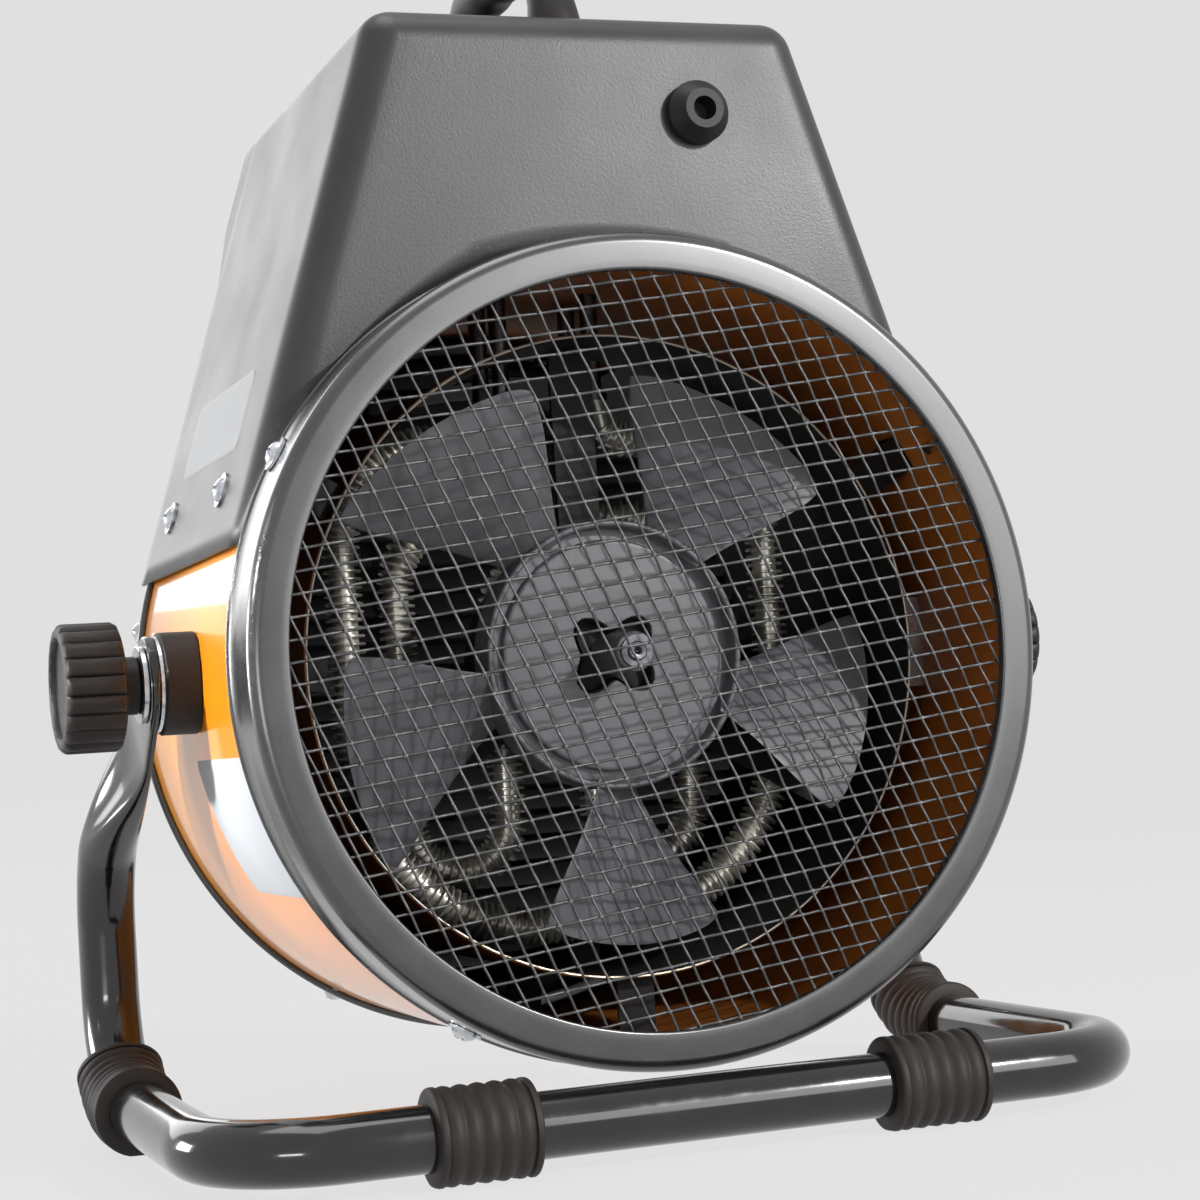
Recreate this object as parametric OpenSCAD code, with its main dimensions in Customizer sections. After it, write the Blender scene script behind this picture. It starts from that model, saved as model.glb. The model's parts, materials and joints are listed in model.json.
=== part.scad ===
// Drum fan heater on a bent tube stand.
// Millimetres. +Z up, the air outlet faces -Y, the intake faces +Y, the floor is Z = 0.

/* [Drum] */
// Outer diameter of the rings at both ends of the drum
ring_d = 250; // [220:1:290]
// Length from the back of the intake ring to the front of the outlet ring
drum_l = 186; // [175:1:230]
// Thickness of the drum, ring and box sheet
sheet_t = 1; // [0.8:0.1:1.6]
// Width of the intake ring's face around its opening
intake_face = 12; // [10:1:20]
// Width of the outlet ring's face around its opening
outlet_face = 13; // [10:1:20]
// Width of the intake ring's skirt over the drum
rear_skirt = 28; // [20:1:32]
// Width of the outlet ring's skirt over the drum
front_skirt = 10; // [8:1:16]
// Radius of the rounded outer edge of a ring
ring_edge_r = 4; // [2:0.5:6]
// How far the lip around a ring's opening turns in
lip_depth = 3; // [2:0.5:5]
// Radius of the rounded edge of a ring's opening
lip_r = 1.5; // [1.2:0.1:2]

/* [Grilles] */
// Distance between neighbouring wires of the intake mesh
mesh_pitch = 12.7; // [12:0.1:20]
// Thickness of the mesh wires
mesh_wire = 1.2; // [0.8:0.1:1.6]
// Slope of the first set of mesh wires
mesh_angle_a = -7; // [-15:1:15]
// Slope of the second set of mesh wires
mesh_angle_b = 67; // [50:1:90]
// How far the mesh reaches behind the intake ring's face
mesh_grip = 5; // [3:0.5:6]
// Height from one slat of the outlet guard to the next
slat_pitch = 9; // [8:0.1:9.5]
// Sheet of the slats, measured upright
slat_t = 1.4; // [1:0.1:2]
// Depth of the outlet guard's ring and posts
guard_wire = 2.6; // [2:0.1:4]

/* [Heat shield] */
// Space between the drum and the inner heat shield
shield_space = 22.7; // [18:0.1:26]
// Depth of the heat shield's rear edge behind the back of the heater
shield_rear = 38; // [36:1:42]
// Thickness of the heat shield sheet
shield_t = 0.8; // [0.6:0.1:1.2]

/* [Fan] */
// Space between the blade tips and the heat shield
tip_space = 6; // [5:1:20]
// Number of fan blades
blades = 5; // [3:1:7]
// Outer diameter of the fan hub
hub_d = 84; // [70:1:90]
// Depth of the hub's rear rim behind the back of the heater
hub_rear = 41; // [40:1:44]
// Height of the fan hub
hub_h = 14; // [12:1:16]
// Pitch of a blade at its root
root_pitch = 38; // [25:1:42]
// Pitch of a blade at its tip
tip_pitch = 20; // [12:1:26]
// Thickness of a blade
blade_t = 2; // [1.5:0.1:3]
// Diameter of the fan shaft
shaft_d = 6; // [5:0.5:8]
// Length of the hub's boss towards the intake
boss_l = 17; // [10:1:20]

/* [Motor] */
// Diameter of the motor body
motor_d = 68; // [55:1:74]
// Length of the motor body
motor_l = 32; // [28:1:34]
// Distance from the fan hub to the motor bracket
motor_gap = 12; // [10:1:14]
// Thickness of the motor bracket
bracket_t = 2; // [1.5:0.1:3]
// Width of a motor bracket arm
arm_w = 14; // [10:1:18]

/* [Heating elements] */
// Diameter over the fins of a heating element
element_d = 12.6; // [10:0.1:14]
// Distance from the heat shield to the middle of the outer element
outer_space = 25.7; // [25:0.1:30]
// Distance between the middles of the two elements
inner_space = 23.5; // [20:0.1:26]
// Upper corner radius of the outer element loop
outer_corner = 34; // [30:1:36]
// Lower corner radius of the outer element loop
outer_sweep = 60; // [54:1:62]
// How far the outer element loop reaches below the axis
outer_low = 85; // [80:1:87]
// Corner radius of the inner element loop
inner_corner = 22; // [16:1:26]
// Depth of the outer element loop
outer_depth = 90; // [86:1:94]
// Depth of the inner element loop
inner_depth = 112; // [108:1:118]
// Half distance between the two ends of a loop
loop_gap = 16; // [14:1:20]
// Straight length of the inner element below the axis
inner_low = 50; // [44:1:54]
// Height of the inner element's middle arch above the axis, without its bend
inner_arch = 18; // [10:1:20]
// Diameter of the plain pins at the element ends
pin_d = 6; // [5:0.5:8]

/* [Control box] */
// Height of the box above the drum
box_over = 75; // [68:1:90]
// Slope of the box side walls from the vertical
wall_slope = 17.5; // [14:0.5:22]
// Radius of the box corners
corner_r = 11; // [8:0.5:16]
// Height above the drum where the control panel starts
panel_over = 19; // [15:1:23]
// How far the control panel stands out in front
panel_out = 14; // [10:1:18]
// Wall thickness of the control panel
panel_t = 2.5; // [2:0.1:3.5]
// Height of the panel's sloping lower part
panel_slope_h = 22; // [16:1:24]
// Distance from the box top down to the knobs and the lamp
knob_drop = 18; // [17:1:20]
// Distance of each control knob from the middle
knob_x = 36; // [30:1:42]
// Diameter of a control knob
control_d = 27; // [22:1:28]
// Height of a control knob
control_h = 15; // [12:1:18]
// Diameter of the pilot lamp
lamp_d = 10; // [8:0.5:14]

/* [Carry handle] */
// Height of the handle above the box
handle_h = 44; // [40:1:55]
// Distance between the two handle feet
handle_span = 96; // [85:1:105]
// Thickness of the handle grip
handle_d = 18; // [14:1:22]

/* [Pivot] */
// Depth of the tilt axis behind the back of the heater
pivot_depth = 88; // [84:1:96]
// Diameter of the plastic spacers
spacer_d = 32; // [30:1:38]
// Length of a spacer from the drum to the stand
spacer_l = 11.3; // [8:0.1:14]
// Diameter of the threaded stud
stud_d = 8; // [6:0.5:10]
// Diameter of the clamp washers
washer_d = 24; // [20:1:28]
// Thickness of the outer clamp washers
washer_t = 2; // [1:0.1:3]
// Thickness of the inner friction washers
friction_t = 1; // [0.5:0.1:2]
// Diameter of a clamp knob
clamp_d = 40; // [34:1:50]
// Length of the gripped part of a clamp knob
clamp_l = 19; // [15:1:25]
// Diameter of the clamp knob's collar
collar_d = 18; // [14:1:24]
// Length of the clamp knob's collar
collar_l = 5.5; // [4:0.5:8]
// Number of grip ribs on a clamp knob
clamp_ribs = 20; // [12:1:28]

/* [Stand] */
// Diameter of the stand tube
tube_d = 19; // [16:0.5:22]
// Wall thickness of the stand tube
tube_t = 1.5; // [1:0.1:2]
// Width of the flattened tube end
flat_w = 30; // [26:1:34]
// Thickness of the flattened tube end
flat_t = 3; // [2.4:0.1:4]
// Sideways step from the flattened end to the tube's centre
tube_step = 5.9; // [4:0.1:7]
// Space between the drum and the floor
floor_space = 22; // [21:1:45]
// Slope of the arms' upper part from the vertical
arm_slope = 49; // [40:1:55]
// How far the arms reach in front of the tilt axis
arm_reach = 70; // [64:1:78]
// Radius of the bend in each arm
arm_bend_r = 40; // [36:1:44]
// Radius of the bend from each arm to the floor
floor_bend_r = 35; // [28:1:38]
// Radius of the rear corners
corner_bend_r = 35; // [28:1:40]
// Diameter of the rubber foot sleeves
foot_d = 28; // [25:1:32]
// Depth of the flat sole cut on a foot sleeve
sole_cut = 0.5; // [0.3:0.1:1]
// Straight length of a front foot sleeve
foot_straight = 10; // [6:1:20]
// Length of a rear foot sleeve
rear_foot_l = 30; // [20:1:40]
// Distance of each rear foot sleeve from the middle
rear_foot_x = 70; // [50:1:85]
// Space between the rear cross tube and the back of the drum
cross_gap = 3; // [2:0.5:8]

/* [Screws and fits] */
// Diameter of a screw head's flange
screw_d = 11; // [9:0.5:12]
// Diameter of a screw shank
shank_d = 4; // [3:0.1:5]
// Length of a screw shank
shank_l = 7; // [6:0.5:10]
// Diameter of the cord gland
gland_d = 20; // [16:1:24]
// Bore of the cord gland
gland_bore = 7.6; // [6:0.1:10]
// Distance of the cord gland from the middle
gland_side = 34; // [20:1:45]
// Distance from the box top down to the cord gland
gland_drop = 32; // [24:1:45]
// Gap between sheets that slide over each other
sheet_gap = 0.3; // [0.2:0.05:0.6]
// Radial gap of a shaft in its bore
running_gap = 0.06; // [0.03:0.01:0.1]
// Gap between faces that turn on each other
face_gap = 0.1; // [0.05:0.05:0.3]
// Gap between a piece and the seat it stands on
seat_gap = 0.05; // [0.02:0.01:0.1]

/* [Hidden] */
$fn = 64;
eps = 0.01;

// Radii and depths of the drum
ring_r = ring_d / 2;
intake_r = ring_r - intake_face;
outlet_r = ring_r - outlet_face;
axis_h = ring_r + floor_space;
drum_r = ring_r - sheet_t - sheet_gap;
drum_bore_r = drum_r - sheet_t;
mesh_depth = lip_depth + seat_gap;
drum_rear = mesh_depth + mesh_wire + seat_gap;
guard_depth = drum_l - lip_depth - seat_gap - guard_wire;
drum_front = guard_depth - seat_gap;
screw_clear_r = shank_d / 2 + 0.2;
screw_fit_r = shank_d / 2 + 0.05;

// Heights and depths inside the drum
shield_r = drum_bore_r - shield_space;
fan_r = shield_r - tip_space;
outer_half = shield_r - shield_t - outer_space;
inner_half = outer_half - inner_space;
shield_front = drum_front - 6;
hub_front = hub_rear + hub_h;
bracket_depth = hub_front + motor_gap;
motor_rear = bracket_depth + bracket_t;
motor_bearing_r = 9;
boss_r = shaft_d / 2 + 3.2;
boss_rear = hub_rear - boss_l;
shaft_rear = boss_rear - 2;
shaft_front = motor_rear + 14;
shaft_r = shaft_d / 2;

// The box: the walls touch a circle just outside the rings, and lean in from there
wall_r = ring_r + sheet_gap + sheet_t;
box_top = ring_r + box_over;
panel_low = ring_r + panel_over;
knob_up = box_top - knob_drop;
gland_x = -gland_side;
gland_up = box_top - gland_drop;
foot_up = wall_r * sin(wall_slope);
box_rear = rear_skirt + 1;
box_front = drum_l;
core_r = wall_r - corner_r;
top_s = (box_top - corner_r - core_r * sin(wall_slope)) / cos(wall_slope);
corner_x = core_r * cos(wall_slope) - top_s * sin(wall_slope);
corner_up = box_top - corner_r;
wall_screw_s = 21;
wall_screw_depths = [box_rear + 43, box_front - 31];
plate_low = ring_r - 45;
plate_depth = box_front - 2 * sheet_t;
panel_face = box_front + panel_out;
control_gap = 1;
control_shaft_r = 3;
control_front = panel_face + control_gap + control_h;

// The stack of pieces on the tilt axis, from the drum outwards
spacer_x = drum_r + spacer_l;
friction_x = spacer_x + face_gap;
flat_x = friction_x + friction_t;
clamp_washer_x = flat_x + flat_t;
collar_x = clamp_washer_x + washer_t + face_gap;
clamp_x = collar_x + collar_l;
nut_t = 8;
nut_x = drum_bore_r - nut_t;
stud_r = stud_d / 2;

// The stand: its path in its side plane, measured from the tilt axis
tube_r = tube_d / 2;
foot_r = foot_d / 2;
run_h = foot_r - sole_cut;
tube_x = flat_x + flat_t / 2 + tube_step;
arm_bend_u = -arm_reach + arm_bend_r;
arm_start_u = arm_bend_u - arm_bend_r * cos(arm_slope);
arm_start_l = -arm_start_u / sin(arm_slope);
arm_start_h = axis_h - arm_start_l * cos(arm_slope);
arm_bend_h = arm_start_h - arm_bend_r * sin(arm_slope);
floor_bend_u = -arm_reach + floor_bend_r;
floor_bend_h = run_h + floor_bend_r;
cross_u = pivot_depth + cross_gap + tube_r;
corner_u = cross_u - corner_bend_r;
flat_l = 22;
strap_w = flat_w - 0.6;

// The place of everything: the origin is under the middle of the whole heater
rear_reach = cross_u - pivot_depth + foot_r;
rear_y = (control_front - rear_reach) / 2;
pivot_y = rear_y - pivot_depth;

// Turns a piece drawn as across, up, depth into its place on the drum axis
module at_axis(depth = 0) {
    translate([0, rear_y - depth, axis_h]) rotate([90, 0, 0]) children();
}

// Puts a piece on the drum's side at an angle from the horizontal, its Z pointing out
module around(angle, depth, radius) {
    at_axis(depth) rotate([0, 0, angle]) translate([radius, 0, 0]) rotate([0, 90, 0]) children();
}

// Puts a piece on both leaning side walls of the box, its Z pointing out
module on_walls(depth, s, lift = 0) {
    for (side = [0, 1])
        at_axis(depth) mirror([side, 0, 0]) rotate([0, 0, wall_slope])
            translate([wall_r + lift, s, 0]) rotate([0, 90, 0]) children();
}

// Puts a piece on the tilt axis, its Z pointing out to the left (side 0) or the right (side 1)
module on_pivot(side, x) {
    mirror([side, 0, 0]) translate([x, pivot_y, axis_h]) rotate([0, 90, 0]) children();
}

// Flat ring
module washer(outer_r, inner_r, h) {
    difference() {
        cylinder(r = outer_r, h = h);
        translate([0, 0, -1]) cylinder(r = inner_r, h = h + 2);
    }
}

// Points of an arc in the plane
function arc(c, r, a0, a1, n = 8) = [for (i = [0 : n]) c + r * [cos(a0 + (a1 - a0) * i / n), sin(a0 + (a1 - a0) * i / n)]];

// Section of an end ring: radius, distance from the outer face
function ring_section(opening_r, skirt) =
    let (edge = [ring_r - ring_edge_r, ring_edge_r], lip = [opening_r + lip_r, lip_r])
    concat(
        [[opening_r + sheet_t, lip_depth], [opening_r, lip_depth]],
        arc(lip, lip_r, 180, 270),
        arc(edge, ring_edge_r, -90, 0),
        [[ring_r, skirt], [ring_r - sheet_t, skirt]],
        arc(edge, ring_edge_r - sheet_t, 0, -90),
        arc(lip, max(lip_r - sheet_t, 0.1), 270, 180)
    );

// Pan head screw with a cross recess, head up, its flange face at Z = 0
module screw(length = shank_l) {
    head_h = 2.4;
    head_r = screw_d * 0.38;
    dome_r = (head_r * head_r + head_h * head_h) / (2 * head_h);
    difference() {
        union() {
            translate([0, 0, -length]) cylinder(d = shank_d, h = length + eps, $fn = 32);
            cylinder(d = screw_d, h = 0.9, $fn = 48);
            rotate_extrude($fn = 48)
                polygon(concat([[0, 0.8]], [for (i = [0 : 6]) [head_r * (1 - i / 6), 0.8 + sqrt(dome_r * dome_r - pow(head_r * (1 - i / 6), 2)) - (dome_r - head_h)]]));
        }
        for (a = [0, 90]) rotate([0, 0, a]) translate([-2.2, -0.5, 1.9]) cube([4.4, 1, 3]);
    }
}

ring_screw_angles = [30, 150, 240, 300];
outlet_screw_angles = [10, 170, 240, 300];
ring_screw_depth = rear_skirt - 6.5;
outlet_screw_depth = drum_l - front_skirt / 2 - 0.5;

module drum_shell() {
    color("darkorange") difference() {
        at_axis() translate([0, 0, drum_rear]) washer(drum_r, drum_bore_r, drum_front - drum_rear);
        for (side = [0, 1]) on_pivot(side, nut_x) cylinder(r = stud_r + 0.3, h = 2 * nut_t + 4);
        for (a = ring_screw_angles) around(a, ring_screw_depth, drum_r - 6) cylinder(r = screw_fit_r, h = 12, $fn = 32);
        for (a = outlet_screw_angles) around(a, outlet_screw_depth, drum_r - 6) cylinder(r = screw_fit_r, h = 12, $fn = 32);
        at_axis() translate([-window_x, drum_r - 12, outer_depth - window_margin])
            cube([2 * window_x, 24, inner_depth - outer_depth + 2 * window_margin]);
    }
}
window_x = loop_gap + 8;
window_margin = 9;

module intake_ring() {
    color("black") difference() {
        at_axis() rotate_extrude($fn = 128) polygon(ring_section(intake_r, rear_skirt));
        for (a = ring_screw_angles) around(a, ring_screw_depth, ring_r - 6) cylinder(r = screw_clear_r, h = 12, $fn = 32);
    }
}

module outlet_ring() {
    color("black") difference() {
        at_axis(drum_l) mirror([0, 0, 1]) rotate_extrude($fn = 128) polygon(ring_section(outlet_r, front_skirt));
        for (a = outlet_screw_angles) around(a, outlet_screw_depth, ring_r - 6) cylinder(r = screw_clear_r, h = 12, $fn = 32);
    }
}

module intake_mesh() {
    mesh_r = intake_r + mesh_grip;
    wires = floor(mesh_r / mesh_pitch);
    color("gray") at_axis() translate([0, 0, mesh_depth]) linear_extrude(mesh_wire) union() {
        intersection() {
            circle(r = mesh_r - 1, $fn = 128);
            for (a = [mesh_angle_a, mesh_angle_b]) rotate(a)
                for (i = [-wires : wires]) translate([-ring_r, (i + 0.5) * mesh_pitch - mesh_wire / 2]) square([ring_d, mesh_wire]);
        }
        difference() {
            circle(r = mesh_r, $fn = 128);
            circle(r = mesh_r - 2, $fn = 128);
        }
    }
}

// A flat ring and two posts that carry sloping slats, which lap over each other so that no light comes straight through
module outlet_guard() {
    guard_r = outlet_r + 5;
    frame_r = outlet_r - 1.5;
    slat_depth = slat_pitch + 1;
    slat_rear = drum_l - slat_depth - seat_gap;
    slats = floor((outlet_r - 3.5) / slat_pitch);
    color("black") at_axis() union() {
        translate([0, 0, guard_depth]) washer(guard_r, frame_r, guard_wire);
        for (x = [-outlet_r / 3, outlet_r / 3]) translate([x - guard_wire / 2, -sqrt(outlet_r * outlet_r - x * x), guard_depth])
            cube([guard_wire, 2 * sqrt(outlet_r * outlet_r - x * x), guard_wire]);
        intersection() {
            translate([0, 0, slat_rear - 1]) cylinder(r = outlet_r - 0.5, h = slat_depth + 2, $fn = 128);
            for (i = [-slats : slats]) translate([0, i * slat_pitch, slat_rear]) rotate([0, -90, 0]) linear_extrude(2 * outlet_r, center = true)
                polygon([[0, slat_depth / 2], [slat_depth, -slat_depth / 2], [slat_depth, -slat_depth / 2 - slat_t], [0, slat_depth / 2 - slat_t]]);
        }
    }
}

module heat_shield() {
    color("dimgray") difference() {
        at_axis() translate([0, 0, shield_rear]) washer(shield_r, shield_r - shield_t, shield_front - shield_rear);
        at_axis() translate([-window_x, shield_r - 14, outer_depth - window_margin])
            cube([2 * window_x, 28, inner_depth - outer_depth + 2 * window_margin]);
    }
}

// Small channels that hold the heat shield inside the drum, three at each end
module shield_brackets() {
    depths = [shield_rear + 6, shield_front - 18];
    color("silver") for (d = depths, a = [30, 150, 270]) at_axis() rotate([0, 0, a])
        translate([shield_r + seat_gap, -6, d]) difference() {
            reach = drum_bore_r - shield_r - 2 * seat_gap - 0.3;
            cube([reach, 12, 12]);
            translate([1.2, -1, 1.2]) cube([reach - 2.4, 14, 12]);
        }
}

// A blade is a curved leaf: along the radius it widens and its pitch falls
blade_rows = 7;
blade_cols = 5;
function blade_angle(t) = 11 + 11 * sin(90 * t);
function blade_point(i, j, face) =
    let (
        t = i / blade_rows,
        s = 2 * j / blade_cols - 1,
        radius = hub_d / 2 - 3 + (fan_r - hub_d / 2 + 3) * t,
        pitch = root_pitch + (tip_pitch - root_pitch) * t,
        half = blade_angle(t),
        edge = 1 - (0.035 * (1 + s) + 0.02 * pow(abs(s), 12)) * t * t,
        around_deg = half * s - 3 * t,
        along = radius * half * s * PI / 180,
        z = -along * tan(pitch) + 3 * s * s * t + (face - 0.5) * blade_t
    )
    [radius * edge * cos(around_deg), radius * edge * sin(around_deg), z];
function blade_points() = [for (face = [0, 1], i = [0 : blade_rows], j = [0 : blade_cols]) blade_point(i, j, face)];
function blade_index(i, j, face) = face * (blade_rows + 1) * (blade_cols + 1) + i * (blade_cols + 1) + j;
function quad(a, b, c, d) = [[c, b, a], [d, c, a]];
function blade_faces() = concat(
    [for (i = [0 : blade_rows - 1], j = [0 : blade_cols - 1])
        each quad(blade_index(i, j, 0), blade_index(i, j + 1, 0), blade_index(i + 1, j + 1, 0), blade_index(i + 1, j, 0))],
    [for (i = [0 : blade_rows - 1], j = [0 : blade_cols - 1])
        each quad(blade_index(i, j, 1), blade_index(i + 1, j, 1), blade_index(i + 1, j + 1, 1), blade_index(i, j + 1, 1))],
    [for (i = [0 : blade_rows - 1])
        each quad(blade_index(i, 0, 0), blade_index(i + 1, 0, 0), blade_index(i + 1, 0, 1), blade_index(i, 0, 1))],
    [for (i = [0 : blade_rows - 1])
        each quad(blade_index(i, blade_cols, 0), blade_index(i, blade_cols, 1), blade_index(i + 1, blade_cols, 1), blade_index(i + 1, blade_cols, 0))],
    [for (j = [0 : blade_cols - 1])
        each quad(blade_index(0, j, 0), blade_index(0, j, 1), blade_index(0, j + 1, 1), blade_index(0, j + 1, 0))],
    [for (j = [0 : blade_cols - 1])
        each quad(blade_index(blade_rows, j, 0), blade_index(blade_rows, j + 1, 0), blade_index(blade_rows, j + 1, 1), blade_index(blade_rows, j, 1))]
);

module fan() {
    hub_r = hub_d / 2;
    groove = 5.5;
    wall = 2.5;
    color("dimgray") at_axis() difference() {
        union() {
            rotate_extrude($fn = 96) polygon([
                [0, hub_rear + 2], [hub_r - groove, hub_rear + 3], [hub_r - groove, hub_rear + 5],
                [hub_r - 2, hub_rear + 5], [hub_r - 2, hub_rear], [hub_r, hub_rear], [hub_r, hub_front],
                [hub_r - wall, hub_front], [hub_r - wall, hub_rear + 5 + wall], [0, hub_rear + 5 + wall]
            ]);
            translate([0, 0, boss_rear]) cylinder(r = boss_r, h = hub_front - boss_rear);
            for (k = [0 : blades - 1]) rotate([0, 0, 55 + k * 360 / blades])
                translate([0, 0, hub_rear + hub_h / 2]) polyhedron(blade_points(), blade_faces(), convexity = 4);
        }
        translate([0, 0, boss_rear - 1]) cylinder(r = shaft_r + seat_gap, h = hub_front - boss_rear + 2);
    }
}

module fan_shaft() {
    color("silver") at_axis() translate([0, 0, shaft_rear]) cylinder(r = shaft_r, h = shaft_front - shaft_rear);
}

module fan_clip() {
    color("silver") at_axis() translate([0, 0, boss_rear - seat_gap - 1]) washer(shaft_r + 2, shaft_r + seat_gap, 1);
}

module motor() {
    cap_l = motor_l * 0.28;
    body_r = motor_d / 2;
    color("gainsboro") at_axis() difference() {
        union() {
            translate([0, 0, motor_rear + cap_l]) cylinder(r = body_r, h = motor_l - 2 * cap_l);
            translate([0, 0, motor_rear]) cylinder(r1 = body_r * 0.82, r2 = body_r * 0.94, h = cap_l + eps);
            translate([0, 0, motor_rear + motor_l - cap_l - eps]) cylinder(r1 = body_r * 0.94, r2 = body_r * 0.8, h = cap_l + eps);
            translate([0, 0, bracket_depth - 3]) cylinder(r = motor_bearing_r, h = bracket_t + 4);
            translate([0, 0, motor_rear + motor_l - eps]) cylinder(r = motor_bearing_r, h = 4);
        }
        translate([0, 0, bracket_depth - 4]) cylinder(r = shaft_r + running_gap, h = shaft_front - bracket_depth + 6);
        for (a = motor_bolt_angles) rotate([0, 0, a]) translate([motor_bolt_r, 0, motor_rear - 1]) cylinder(r = bolt_r + seat_gap, h = 13, $fn = 32);
    }
}
motor_bolt_angles = [0, 90, 180, 270];
motor_bolt_r = motor_d / 2 * 0.62;
bolt_r = 2;

// Flat plate with three arms whose ends are bent along the heat shield
module motor_bracket() {
    reach = shield_r - shield_t - seat_gap;
    color("silver") at_axis() difference() {
        union() {
            translate([0, 0, bracket_depth]) cylinder(r = motor_d / 2, h = bracket_t);
            for (a = [90, 210, 330]) rotate([0, 0, a]) intersection() {
                union() {
                    translate([0, -arm_w / 2, bracket_depth]) cube([reach, arm_w, bracket_t]);
                    translate([reach - 3, -arm_w / 2, bracket_depth]) cube([4, arm_w, 14]);
                }
                translate([0, 0, bracket_depth - 1]) difference() {
                    cylinder(r = reach, h = 20, $fn = 128);
                    translate([0, 0, 1 + bracket_t]) cylinder(r = reach - bracket_t, h = 20, $fn = 128);
                }
            }
        }
        translate([0, 0, bracket_depth - 1]) cylinder(r = motor_bearing_r + seat_gap, h = bracket_t + 2);
        for (a = motor_bolt_angles) rotate([0, 0, a]) translate([motor_bolt_r, 0, bracket_depth - 1]) cylinder(r = bolt_r + seat_gap, h = bracket_t + 2, $fn = 32);
    }
}

module motor_bolts() {
    color("silver") for (a = motor_bolt_angles) at_axis(bracket_depth) rotate([0, 0, a]) translate([motor_bolt_r, 0, 0]) {
        translate([0, 0, -3]) cylinder(r = 3.4, h = 3 - seat_gap, $fn = 6);
        translate([0, 0, -1]) cylinder(r = bolt_r, h = 12, $fn = 32);
    }
}

// A quarter bend of an element about [x, up], turned by an angle
module element_bend(x, up, bend_r, turn) {
    translate([x, up, 0]) rotate([0, 0, turn]) rotate_extrude(angle = 90) translate([bend_r, 0]) circle(d = element_d, $fn = 32);
}

// Sides and top corners of an element, whose ends turn up through the drum
module element_top(half, corner, low) {
    r = element_d / 2;
    straight = half - corner;
    translate([half, -low, 0]) rotate([-90, 0, 0]) cylinder(r = r, h = low + straight);
    element_bend(straight, straight, corner, 0);
    translate([loop_gap + turn_r, half, 0]) rotate([0, 90, 0]) cylinder(r = r, h = straight - loop_gap - turn_r);
    element_bend(loop_gap + turn_r, half + turn_r, turn_r, 180);
    translate([loop_gap, half + turn_r, 0]) rotate([-90, 0, 0]) cylinder(r = r, h = 4);
    translate([loop_gap, half + turn_r + 3, 0]) rotate([-90, 0, 0]) cylinder(d = pin_d, h = element_end_up - half - turn_r - 3);
}
turn_r = 10;
terminal_up = drum_r + seat_gap;
terminal_t = 1.6;
bush_h = 8;
bush_r = 5.5;
element_end_up = terminal_up + terminal_t + bush_h + 9;
inner_bend_r = (inner_half - loop_gap) / 2;

// A loop with rounded corners, open at the top
module outer_element() {
    sweep_x = outer_half - outer_sweep;
    sweep_up = outer_low - outer_sweep;
    color("silver") at_axis(outer_depth) for (side = [0, 1]) mirror([side, 0, 0]) {
        element_top(outer_half, outer_corner, sweep_up);
        element_bend(sweep_x, -sweep_up, outer_sweep, -90);
        translate([0, -outer_low, 0]) rotate([0, 90, 0]) cylinder(d = element_d, h = sweep_x);
    }
}

// Two narrow bends below, joined by an arch in the middle
module inner_element() {
    color("silver") at_axis(inner_depth) for (side = [0, 1]) mirror([side, 0, 0]) {
        element_top(inner_half, inner_corner, inner_low);
        for (turn = [180, 270]) element_bend(loop_gap + inner_bend_r, -inner_low, inner_bend_r, turn);
        translate([loop_gap, -inner_low, 0]) rotate([-90, 0, 0]) cylinder(d = element_d, h = inner_low + inner_arch);
        element_bend(0, inner_arch, loop_gap, 0);
    }
}

// Flat bars that carry the elements from the heat shield, at both sides and below
module element_brackets() {
    w = 10;
    reach = shield_r - shield_t - seat_gap - 0.3;
    bar_x = loop_gap + inner_bend_r;
    bar_top = inner_low + inner_bend_r + element_d / 2 + seat_gap;
    bar_low = sqrt(reach * reach - pow(bar_x + w / 2, 2));
    color("silver") for (bar = [[outer_half, outer_depth, 0], [outer_half, outer_depth, 180], [outer_low, outer_depth, 270],
                                [inner_half, inner_depth, 0], [inner_half, inner_depth, 180]])
        at_axis() rotate([0, 0, bar[2]]) translate([bar[0] + element_d / 2 + seat_gap, -w / 2, bar[1] - 1])
            cube([reach - bar[0] - element_d / 2, w, 2]);
    color("silver") for (x = [-bar_x, bar_x]) at_axis(inner_depth - 1) translate([x - w / 2, -bar_low, 0]) cube([w, bar_low - bar_top, 2]);
}

module terminal_plate() {
    color("silver") at_axis() difference() {
        translate([-window_x - 6, terminal_up, outer_depth - window_margin - 5])
            cube([2 * window_x + 12, terminal_t, inner_depth - outer_depth + 2 * window_margin + 10]);
        for (x = [-loop_gap, loop_gap], d = [outer_depth, inner_depth])
            translate([x, terminal_up - 1, d]) rotate([-90, 0, 0]) cylinder(d = pin_d + 0.6, h = terminal_t + 2);
    }
}

module terminal_bushes() {
    color("white") for (x = [-loop_gap, loop_gap], d = [outer_depth, inner_depth])
        at_axis() translate([x, terminal_up + terminal_t + seat_gap, d]) rotate([-90, 0, 0]) washer(bush_r, pin_d / 2 + seat_gap, bush_h);
}

module terminal_nuts() {
    color("silver") for (x = [-loop_gap, loop_gap], d = [outer_depth, inner_depth])
        at_axis() translate([x, terminal_up + terminal_t + bush_h + 2 * seat_gap, d]) rotate([-90, 0, 0]) difference() {
            cylinder(r = 5.5, h = 3.5, $fn = 6);
            translate([0, 0, -1]) cylinder(r = pin_d / 2 + seat_gap, h = 6);
        }
}

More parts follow.
